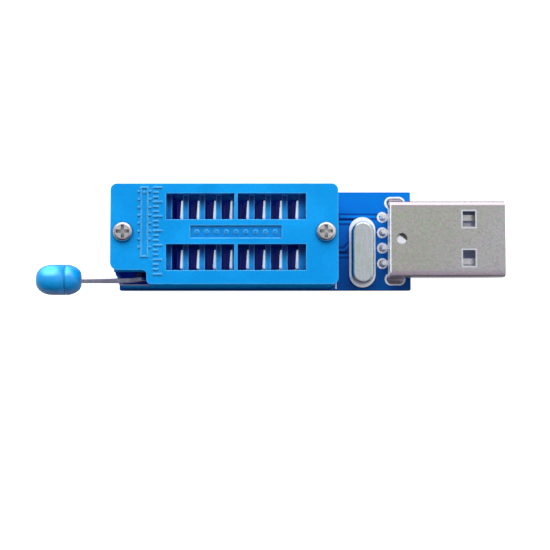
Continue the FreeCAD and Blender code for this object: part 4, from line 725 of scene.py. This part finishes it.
PARTS = {  # node: (material,) or (material, bevel width in mm, bevel segments)
    "circuit_board": (board_mask, 0.05, 2),
    "socket_base": (base_plastic, 0.10, 2),
    "socket_cover": (cover_plastic, 0.10, 3),
    "lever_knob": (knob_plastic,),
    "contact_slider": (slider_plastic, 0.08, 2),
    "cover_screws": (screw_nickel, 0.06, 2),
    "lever_blade": (lever_steel, 0.08, 2),
    "cam_shaft": (blued_steel, 0.05, 2),
    "contact_springs_front": (contact_tin,),
    "contact_springs_rear": (contact_tin,),
    "usb_shell": (shell_nickel, 0.10, 3),
    "usb_insulator": (insulator, 0.08, 2),
    "usb_contacts": (usb_tin, 0.04, 2),
    "usb_tail_solder": (solder,),
    "shell_leg_solder": (solder,),
    "socket_solder_front": (solder,),
    "socket_solder_rear": (solder,),
    "crystal_solder": (solder,),
    "crystal_can": (can_nickel, 0.42, 5),
    "crystal_header": (flange_metal, 0.16, 3),
    "crystal_leads": (tinned,),
    "crystal_glass_seals": (seal_glass,),
    "crystal_clips": (tinned, 0.03, 2),
    "quartz_blank": (quartz, 0.03, 2),
    "interface_chip_body": (chip_epoxy, 0.08, 2),
    "interface_chip_leads": (tinned, 0.03, 2),
    "ceramic_capacitor_bodies": (ceramic, 0.05, 2),
    "ceramic_capacitor_ends": (tinned, 0.07, 2),
    "resistor_bodies": (resistor_glaze, 0.04, 2),
    "resistor_ends": (tinned, 0.05, 2),
    "status_led_base": (led_base, 0.04, 2),
    "status_led_ends": (tinned, 0.04, 2),
    "status_led_lens": (led_lens, 0.12, 3),
}
for name, obj in NODES.items():
    material, *rounding = PARTS[name]
    for material_slot in obj.material_slots:
        material_slot.material = material
    weld = obj.modifiers.new("weld", "WELD")
    weld.merge_threshold = 1e-7
    if rounding:
        add_bevel(obj, *rounding)


# ---------------------------------------------------------------- mesh helpers
def new_object(name, shape):
    mesh = bpy.data.meshes.new(name)
    shape.to_mesh(mesh)
    shape.free()
    obj = bpy.data.objects.new(name, mesh)
    bpy.context.scene.collection.objects.link(obj)
    return obj


def new_piece(name, shape, material, replaces=None, bevel=None, smooth=True, ride=True):
    bmesh.ops.recalc_face_normals(shape, faces=shape.faces)
    obj = new_object(name, shape)
    obj.data.materials.append(material)
    if smooth:
        for face in obj.data.polygons:
            face.use_smooth = True
    if bevel:
        add_bevel(obj, bevel)
    if ride:
        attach(obj, BODY)
    if replaces:
        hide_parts(replaces)
    return obj


def loft(shape, rings, tube=False):
    """Joins closed rings of points with quads; ends are capped, or a tube's joined together."""
    loops = [[shape.verts.new(Vector(point) * MM) for point in ring] for ring in rings]
    count = len(loops[0])
    following = loops[1:] + loops[:1] if tube else loops[1:]
    for near, far in zip(loops, following):
        for k in range(count):
            after = (k + 1) % count
            shape.faces.new((near[k], near[after], far[after], far[k]))
    if not tube:
        shape.faces.new(loops[0])
        shape.faces.new(list(reversed(loops[-1])))


def lathe(shape, centre_x, centre_y, profile, segments, wobble, seed):
    """Turns (radius, z) points about a vertical axis, with an outline uneven like cooled solder."""
    draw = random.Random(seed)
    waves = [(draw.uniform(0, 6.28), draw.uniform(0.4, 1.0)) for _ in range(4)]
    rings = []
    for radius, z in profile:
        ring = []
        for k in range(segments):
            angle = 2 * math.pi * k / segments
            swell = sum(size * math.sin((i + 2) * angle + phase)
                        for i, (phase, size) in enumerate(waves))
            width = radius * (1.0 + wobble * swell / 4)
            ring.append((centre_x + width * math.cos(angle),
                         centre_y + width * math.sin(angle), z))
        rings.append(ring)
    loft(shape, rings)


def stadium(centre_x, centre_y, z, radius, half=0.0, count=44, middle=0.0, wave=None):
    """A circle pulled apart along X by half each way.

    Points whose cosine is within middle of zero stay at the centre; wave(angle) scales the radius.
    """
    ring = []
    for k in range(count):
        angle = 2 * math.pi * k / count
        along = math.cos(angle)
        shift = half * ((along > middle) - (along < -middle))
        reach = radius * (wave(angle) if wave else 1.0)
        ring.append((centre_x + shift + reach * along, centre_y + reach * math.sin(angle), z))
    return ring


def washer(shape, x, y, z_span, inner, outer, half=0.0):
    low, high = z_span
    corners = ((inner, low), (outer, low), (outer, high), (inner, high))
    loft(shape, [stadium(x, y, z, radius, half, count=36) for radius, z in corners], tube=True)


def bar(shape, x_span, y_span, z_span):
    (x0, x1), (y0, y1) = x_span, y_span
    loft(shape, [[(x0, y0, z), (x1, y0, z), (x1, y1, z), (x0, y1, z)] for z in z_span])


# ---------------------------------------------------------------- solder joints
def fillet_below(foot, narrowing, height, tip):
    """Concave (radius, z) profile of solder drawn down a pin from the board's underside."""
    edge, edge_height = foot - 0.01, 0.05
    profile = [(foot, BOARD_UNDER), (edge, BOARD_UNDER - edge_height)]
    for i in range(1, 9):
        part = i / 8
        profile.append((edge - narrowing * (1 - (1 - part) ** 2.1),
                        BOARD_UNDER - edge_height - (height - edge_height) * part ** 1.55))
    return profile + [(tip, BOARD_UNDER - height - 0.03)]


def socket_solder(row, y, phase, first_seed):
    shape = bmesh.new()
    for k, x in enumerate(TAIL_X):
        height = 0.95 + 0.12 * math.sin(k * 2.1 + phase)
        profile = [(0.44, BOARD_TOP - 0.02), (0.44, BOARD_UNDER + 0.02)]
        profile += fillet_below(foot=0.80, narrowing=0.47, height=height, tip=0.12)
        lathe(shape, x, y, profile, segments=32, wobble=0.035, seed=k * 7 + first_seed)
    new_piece("solder_fillets_" + row, shape, solder, "socket_solder_" + row)


def usb_solder():
    """Joints with a cone above the board and a fillet below it."""
    shape = bmesh.new()
    for k, y in enumerate(USB_TAIL_Y):
        profile = [(0.18, BOARD_TOP + 0.60), (0.30, BOARD_TOP + 0.56)]
        for i in range(9):
            part = i / 8
            profile.append((0.32 + 0.26 * part ** 1.5, BOARD_TOP + 0.52 - 0.50 * part ** 0.7))
        profile += [(0.48, BOARD_TOP), (0.48, BOARD_UNDER)]
        profile += fillet_below(foot=0.80, narrowing=0.47,
                                height=0.92 + 0.1 * math.sin(k * 1.9), tip=0.12)
        lathe(shape, USB_TAIL_X, y, profile, segments=36, wobble=0.04, seed=40 + k)
    new_piece("solder_fillets_usb", shape, pin_solder, "usb_tail_solder")


LEG_MOUND_TOP = (  # half straight length, end radius, z
    (0.55, 0.50, BOARD_UNDER - 0.02), (0.55, 0.50, BOARD_TOP), (0.64, 0.74, BOARD_TOP),
    (0.64, 0.72, BOARD_TOP + 0.06), (0.63, 0.66, BOARD_TOP + 0.17),
    (0.62, 0.58, BOARD_TOP + 0.30), (0.60, 0.49, BOARD_TOP + 0.42),
    (0.58, 0.40, BOARD_TOP + 0.50), (0.5, 0.2, BOARD_TOP + 0.54))
LEG_MOUND_UNDER = (  # the same columns
    (0.55, 0.50, BOARD_TOP - 0.1), (0.55, 0.50, BOARD_UNDER), (0.66, 0.95, BOARD_UNDER),
    (0.64, 0.86, BOARD_UNDER - 0.12), (0.62, 0.66, BOARD_UNDER - 0.27),
    (0.5, 0.3, BOARD_UNDER - 0.33))


def leg_solder():
    """Oblong mounds round the shell's legs, wavy above the board and even below it."""
    shape = bmesh.new()
    for side in (1, -1):
        def wave(angle):
            return 1 + 0.03 * math.sin(3 * angle + side) + 0.02 * math.sin(5 * angle)

        y = LEG_Y * side + 0.08 * side
        loft(shape, [stadium(LEG_X, y, z, radius, half, middle=1e-9, wave=wave)
                     for half, radius, z in LEG_MOUND_TOP])
        loft(shape, [stadium(LEG_X, y, z, radius, half) for half, radius, z in LEG_MOUND_UNDER])
    new_piece("solder_mounds_shell_legs", shape, dull_solder, "shell_leg_solder")


def crystal_solder():
    shape = bmesh.new()
    for k, y in enumerate(CRYSTAL_LEAD_Y):
        profile = [(0.38, BOARD_TOP - 0.03), (0.38, BOARD_UNDER)]
        profile += fillet_below(foot=0.74, narrowing=0.46, height=0.80, tip=0.1)
        lathe(shape, CRYSTAL_X, y, profile, segments=32, wobble=0.035, seed=60 + k)
    new_piece("solder_fillets_crystal", shape, solder, "crystal_solder")


socket_solder("rear", ROW_REAR, phase=1, first_seed=3)
socket_solder("front", ROW_FRONT, phase=2, first_seed=5)
usb_solder()
leg_solder()
crystal_solder()


# ---------------------------------------------------------------- pads, tracks and printing
def plated_pads():
    above = (BOARD_TOP - 0.005, BOARD_TOP + 0.035)
    leg_above = (BOARD_TOP - 0.005, BOARD_TOP + 0.04)
    below = (BOARD_UNDER - 0.035, BOARD_UNDER + 0.005)
    shape = bmesh.new()
    for y in USB_TAIL_Y:
        washer(shape, USB_TAIL_X, y, above, inner=0.50, outer=0.88)
        washer(shape, USB_TAIL_X, y, below, inner=0.50, outer=0.95)
    for side in (1, -1):
        washer(shape, LEG_X, LEG_Y * side, leg_above, inner=0.60, outer=1.04, half=0.65)
        washer(shape, LEG_X, LEG_Y * side, below, inner=0.60, outer=1.1, half=0.65)
    for y in CRYSTAL_LEAD_Y:
        washer(shape, CRYSTAL_X, y, above, inner=0.41, outer=0.72)
        washer(shape, CRYSTAL_X, y, below, inner=0.41, outer=0.86)
    for _, y in ROWS:
        for x in TAIL_X:
            washer(shape, x, y, below, inner=0.46, outer=0.92)
    new_piece("plated_pads", shape, pad_tin, smooth=False)


TOP_RUNS = [  # each track is a list of (x, y) corners
    [(-25.9, 4.0), (-19.9, 3.95)],
    [(-26.0, 3.1), (-22.6, 3.1), (-21.4, 1.9), (-19.9, 1.4)],
    [(-26.2, -1.4), (-25.3, -1.4), (-24.6, -0.6)],
    [(-26.2, -2.3), (-24.8, -2.3)],
    [(-61.0, 5.2), (-60.2, 6.0)],
    [(-61.0, -4.4), (-60.4, -5.0)],
]
UNDER_RUNS = [
    # from the socket's rear row
    [(TAIL_X[0], ROW_REAR), (-49.6, 2.6), (-47.4, 3.0), (-46.8, 3.0)],
    [(TAIL_X[1], ROW_REAR), (TAIL_X[1] + 0.9, 3.0), (-45.6, 3.0)],
    [(TAIL_X[2], ROW_REAR), (TAIL_X[2] + 0.6, 3.2), (-44.3, 3.0)],
    [(TAIL_X[3], ROW_REAR), (-43.1, 3.0)],
    [(TAIL_X[4], ROW_REAR), (-41.8, 3.0)],
    [(TAIL_X[5], ROW_REAR), (-40.5, 3.0)],
    [(TAIL_X[6], ROW_REAR), (-37.0, 3.2), (-38.0, 3.0)],
    # from its front row
    [(TAIL_X[0], ROW_FRONT), (-49.4, -2.2), (-46.8, -2.4)],
    [(TAIL_X[1], ROW_FRONT), (-47.2, -2.8), (-45.6, -2.4)],
    [(TAIL_X[2], ROW_FRONT), (-44.3, -2.5)],
    [(TAIL_X[3], ROW_FRONT), (-43.1, -2.5)],
    [(TAIL_X[4], ROW_FRONT), (-41.8, -2.5)],
    [(TAIL_X[5], ROW_FRONT), (-40.5, -2.5)],
    # towards the crystal
    [(-37.9, 1.4), (-35.0, 1.4), (-31.0, 1.2), (-25.3, 1.9)],
    [(-37.9, -0.8), (-34.0, -0.8), (-30.9, -2.6), (-26.4, -4.4)],
    [(-25.3, 1.0), (CRYSTAL_X, CRYSTAL_LEAD_Y[0])],
    [(-25.3, -4.0), (CRYSTAL_X, CRYSTAL_LEAD_Y[1])],
    # from the plug's tails
    [(USB_TAIL_X, 1.35), (-21.0, 2.6), (-27.0, 3.3), (-36.4, 2.4)],
    [(USB_TAIL_X, -1.15), (-20.6, -2.6), (-27.5, -1.6), (-36.4, -1.4)],
    [(USB_TAIL_X, 3.85), (-21.4, 5.4), (-22.3, 5.9)],
    [(USB_TAIL_X, -3.65), (-21.2, -6.2), (-22.2, -6.9)],
    # along the rear and front edges
    [(-29.6, 5.6), (-33.0, 6.6), (-55.0, 6.6), (-58.0, 4.0)],
    [(-29.6, -6.2), (-33.0, -6.9), (-56.0, -6.9), (-58.5, -4.0)],
    [(TAIL_X[7], ROW_REAR), (-31.0, 5.2), (-29.6, 5.6)],
    [(TAIL_X[7], ROW_FRONT), (-31.2, -5.0), (-29.6, -6.2)],
]


def ribbon(shape, path, half, z_span):
    """A flat strip of constant width with round ends and mitred corners, as a thin solid."""
    points = [Vector(point) for point in path]
    left, right = [], []
    for k, point in enumerate(points):
        before = (point - points[k - 1] if k > 0 else points[1] - point).normalized()
        after = (points[k + 1] - point).normalized() if k < len(points) - 1 else before
        course = before + after
        course = course.normalized() if course.length > 1e-6 else before
        across = Vector((-course.y, course.x))
        width = half / max(0.6, across.dot(Vector((-before.y, before.x))))
        left.append(point + across * width)
        right.append(point - across * width)

    def round_end(centre, outward):
        """Points from the left side to the right side when looking outward."""
        heading = math.atan2(outward.y, outward.x)
        turns = [math.pi / 2 - math.pi * i / 8 for i in range(1, 8)]
        return [centre + Vector((math.cos(heading + turn), math.sin(heading + turn))) * half
                for turn in turns]

    parts = (left, right, round_end(points[-1], points[-1] - points[-2]),
             round_end(points[0], points[0] - points[1]))
    layers = [[[shape.verts.new(Vector((q.x, q.y, z)) * MM) for q in part] for part in parts]
              for z in z_span]
    for lefts, rights, end, start in layers:
        for k in range(len(lefts) - 1):
            shape.faces.new((lefts[k], lefts[k + 1], rights[k + 1], rights[k]))
        for fan in ([lefts[-1]] + end + [rights[-1]], [rights[0]] + start + [lefts[0]]):
            for k in range(1, len(fan) - 1):
                shape.faces.new((fan[0], fan[k], fan[k + 1]))
    low, high = [lefts + end + list(reversed(rights)) + start
                 for lefts, rights, end, start in layers]
    count = len(low)
    for k in range(count):
        after = (k + 1) % count
        shape.faces.new((low[k], low[after], high[after], high[k]))


def tracks(face, paths, surface, outward):
    """Tracks on one face of the board, on wider and lower strips of bare laminate."""
    layers = (("track_clearances_", laminate_mask, CLEARANCE_HALF, 0.006),
              ("tracks_", copper_mask, TRACK_HALF, 0.030))
    for prefix, material, half, height in layers:
        shape = bmesh.new()
        for path in paths:
            ribbon(shape, path, half, (surface - 0.004 * outward, surface + height * outward))
        new_piece(prefix + face, shape, material, smooth=False)


UNDER_BOXES = (  # printed boxes round small parts: centre x, centre y, length in x, length in y
    (-25.3, 1.6, 1.9, 2.6), (-25.3, -4.6, 1.9, 2.6), (-29.6, -0.4, 1.9, 2.6),
    (-16.6, 0.1, 1.9, 2.6), (-28.6, 5.6, 2.6, 1.9), (-28.6, -6.2, 2.6, 1.9),
    (-23.2, 5.9, 2.6, 1.9), (-23.2, -6.9, 2.6, 1.5))


def printed_box(shape, x_span, y_span, z_span, line):
    (x0, x1), (y0, y1) = x_span, y_span
    bar(shape, x_span, (y1 - line, y1), z_span)
    bar(shape, x_span, (y0, y0 + line), z_span)
    bar(shape, (x0, x0 + line), y_span, z_span)
    bar(shape, (x1 - line, x1), y_span, z_span)


def printing():
    above = (BOARD_TOP - 0.003, BOARD_TOP + 0.014)
    shape = bmesh.new()
    bar(shape, (-26.80, -26.58), (-7.70, 7.70), above)  # right of the socket
    bar(shape, (-61.5, -26.58), (7.70, 7.86), above)    # behind the socket
    new_piece("printed_outline", shape, ink, smooth=False)

    below = (BOARD_UNDER - 0.014, BOARD_UNDER + 0.003)
    shape = bmesh.new()
    printed_box(shape, (-53.6, -31.4), (-5.10, 5.70), below, line=0.15)
    for x, y, length_x, length_y in UNDER_BOXES:
        half_x, half_y = length_x / 2, length_y / 2
        printed_box(shape, (x - half_x, x + half_x), (y - half_y, y + half_y), below, line=0.12)
    washer(shape, -48.2, -2.0, below, inner=0.0001, outer=0.28)  # dot
    new_piece("printed_outline_underside", shape, ink, smooth=False)


plated_pads()
tracks("top", TOP_RUNS, BOARD_TOP, outward=1)
tracks("underside", UNDER_RUNS, BOARD_UNDER, outward=-1)
printing()


# ---------------------------------------------------------------- contact springs
# Beam paths: (x from the contact's own x, z), from the bend at the foot, up the rise, to the top.
FIXED_BEAM = (
    [(-0.35, -0.30), (-0.1, -0.32), (0.3, -0.30), (0.52, -0.22), (0.62, -0.02), (BEAM_X, 0.3)]
    + [(BEAM_X, 0.3 + 7.4 * i / 10) for i in range(1, 11)]
    + [(BEAM_X, 7.9), (0.64, 8.1), (0.62, 8.3), (0.60, 8.5), (0.58, 8.68)])
MOVING_BEAM = (
    [(-0.35, -0.30), (-0.52, -0.22), (-0.60, -0.02), (-0.60, 0.3)]
    + [(-0.60, 0.3 + 4.2 * i / 12) for i in range(1, 13)]
    + [(-0.50, 4.9), (-0.2, 5.6), (0.1, 6.3), (0.29, 6.8), (0.33, 7.05), (0.28, 7.3),
       (0.08, 7.65), (-0.12, 7.95)])
TAIL = [(BEAM_X, z) for z in (-5.42, -5.3, -4.6, -3.6, -2.4, -1.2, -0.3, -0.1)]


def strip(shape, x, path, y_span, thick, lean=None, steps=7):
    """Sheet strip along a path from x. lean(across, along, side) shifts its points in x."""
    path = [(x + shift, z) for shift, z in path]
    y0, y1 = y_span
    last = len(path) - 1
    rings = []
    for i, (x, z) in enumerate(path):
        before, after = path[max(i - 1, 0)], path[min(i + 1, last)]
        step_x, step_z = after[0] - before[0], after[1] - before[1]
        length = math.hypot(step_x, step_z) or 1.0
        normal_x, normal_z = -step_z / length, step_x / length
        ring = []
        for side in (1, -1):
            for j in range(steps + 1)[::side]:
                across = j / steps
                shift = lean(across, i / last, side) if lean else 0.0
                ring.append((x + shift + side * normal_x * thick / 2, y0 + (y1 - y0) * across,
                             z + side * normal_z * thick / 2))
        rings.append(ring)
    loft(shape, rings)


def lead_in(wobble):
    """A top rolled over more at its front end, so from above the leaf reads as a wedge."""
    def lean(across, along, side):
        top = max(0.0, (along - 0.62) / 0.38) ** 1.4
        if side < 0:
            return 0.125 * top
        nick = 0.12 * max(0.0, 1.0 - across / 0.07)
        return (0.115 - 0.22 * (1.0 - across) ** 0.9 + wobble + nick) * top
    return lean


def contact_row(row, y):
    """One fixed beam with its tail, and one moving beam, for each contact."""
    y0, y1 = y + LEAF_SHIFT_Y - LEAF_HALF_Y, y + LEAF_SHIFT_Y + LEAF_HALF_Y
    shape = bmesh.new()
    for k, x in enumerate(CONTACT_X):
        lean = lead_in(0.02 * math.sin(k * 3.3))
        strip(shape, x, FIXED_BEAM, (y0, y1), thick=0.24, lean=lean, steps=14)
        strip(shape, x, TAIL, (y - 0.28, y + 0.28), thick=0.26, steps=2)
    new_piece("contact_fixed_beams_" + row, shape, contact_tin,
              "contact_springs_" + row, bevel=0.04)
    shape = bmesh.new()
    for x in CONTACT_X:
        strip(shape, x, MOVING_BEAM, (y0 + 0.05, y1 - 0.05), thick=0.2)
    beams = new_piece("contact_moving_beams_" + row, shape, shaded_tin,
                      bevel=0.03, ride=False)
    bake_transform(beams)


for row, y in ROWS:
    contact_row(row, y)


# ---------------------------------------------------------------- floor, world, lights, camera
def floor_material():
    """Pale paper that glows to the camera and close to the product, and is clear from below."""
    tree = Shader("floor_paper", (0.52, 0.52, 0.53, 1))
    cloud = tree.noise(scale=0.02, detail=3.0, rough=0.5)
    tree.paint((0.56, 0.56, 0.57, 1), tree.ramp(cloud, (0.3, 0.7)))
    ray = tree.new("ShaderNodeLightPath").outputs
    near = tree.mul(ray["Is Diffuse Ray"], tree.math("LESS_THAN", ray["Ray Length"], 0.005))
    seen = tree.maximum(ray["Is Camera Ray"], tree.mul(ray["Is Glossy Ray"], 0.22))
    tree.set(Base_Color=tree.colour, Roughness=0.9, Specular_IOR_Level=0.1,
             Emission_Color=(1, 1, 1, 1),
             Emission_Strength=tree.add(tree.mul(near, 0.35), tree.mul(seen, 0.92)))
    below = tree.geometry("Backfacing")
    clear = tree.new("ShaderNodeBsdfTransparent").outputs[0]
    inputs = {0: below, 1: tree.bsdf.outputs["BSDF"], 2: clear}
    either = tree.new("ShaderNodeMixShader", inputs).outputs[0]
    tree.put(tree.output.inputs["Surface"], either)
    return tree.finish()


def make_floor():
    z = Vector(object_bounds()[0]).z - 0.00002
    shape = bmesh.new()
    corners = ((-2, -2), (2, -2), (2, 2), (-2, 2))
    shape.faces.new([shape.verts.new((x, y, z)) for x, y in corners])
    floor = new_object("floor", shape)
    floor.data.materials.append(floor_material())


def make_world():
    """Bright at the rear, dim and violet at the front, a softer lift to the right."""
    world = bpy.data.worlds.new("studio")
    bpy.context.scene.world = world
    nodes = Nodes(world)
    output = nodes.new("ShaderNodeOutputWorld")
    background = nodes.new("ShaderNodeBackground")
    x, y, _ = nodes.split(nodes.new("ShaderNodeTexCoord").outputs["Generated"])
    rear = nodes.ramp(y, (-0.85, 0.45), to=(0.05, 0.74))
    right = nodes.ramp(x, (-0.9, 0.9), to=(0.75, 1.25))
    strength = nodes.new("ShaderNodeMath", {0: rear, 1: right}, operation="MULTIPLY")
    tones = {0: nodes.ramp(y, (-0.8, 0.1)), 6: (0.62, 0.56, 0.86, 1), 7: (0.98, 0.99, 1.0, 1)}
    tone = nodes.new("ShaderNodeMix", tones, data_type="RGBA")
    nodes.put(background.inputs["Strength"], strength.outputs[0])
    nodes.put(background.inputs["Color"], tone.outputs[2])
    nodes.put(output.inputs[0], background.outputs[0])


def area_light(name, location, size, power, tint):
    """A rectangular light aimed at the middle of the product."""
    target = Vector((-0.037, 0.0, 0.0))
    data = bpy.data.lights.new(name, "AREA")
    data.energy = power
    data.color = tint
    data.shape = "RECTANGLE"
    data.size, data.size_y = size
    light = bpy.data.objects.new(name, data)
    light.location = location
    light.rotation_euler = (target - Vector(location)).to_track_quat("-Z", "Y").to_euler()
    bpy.context.scene.collection.objects.link(light)
    return light


def make_lights():
    """The rear light is split: the key lights surfaces, the panel only makes highlights."""
    key = area_light("key_rear", location=(-0.05, 0.30, 0.24), size=(0.60, 0.30), power=1.95,
                     tint=(1.0, 0.995, 0.985))
    key.visible_glossy = False
    panel = area_light("panel_rear", location=(-0.05, 0.30, 0.25), size=(0.60, 0.30),
                       power=0.75, tint=(0.98, 1.0, 1.0))
    panel.visible_diffuse = False
    area_light("fill_front", location=(0.05, -0.30, 0.30), size=(0.16, 0.16), power=0.02,
               tint=(0.96, 0.98, 1.0))


def make_camera():
    """Looks almost straight down."""
    data = bpy.data.cameras.new("photo_camera")
    data.sensor_width = 36.0
    data.lens = 92.84
    data.clip_start = 0.01
    data.clip_end = 10.0
    camera = bpy.data.objects.new("photo_camera", data)
    camera.location = (-0.03635, -0.02127, 0.22614)
    camera.rotation_mode = "XYZ"
    camera.rotation_euler = [math.radians(angle) for angle in (3.954, 0.047, -0.021)]
    bpy.context.scene.collection.objects.link(camera)
    bpy.context.scene.camera = camera
    bpy.context.scene.view_settings.view_transform = "Standard"


make_floor()
make_world()
make_lights()
make_camera()
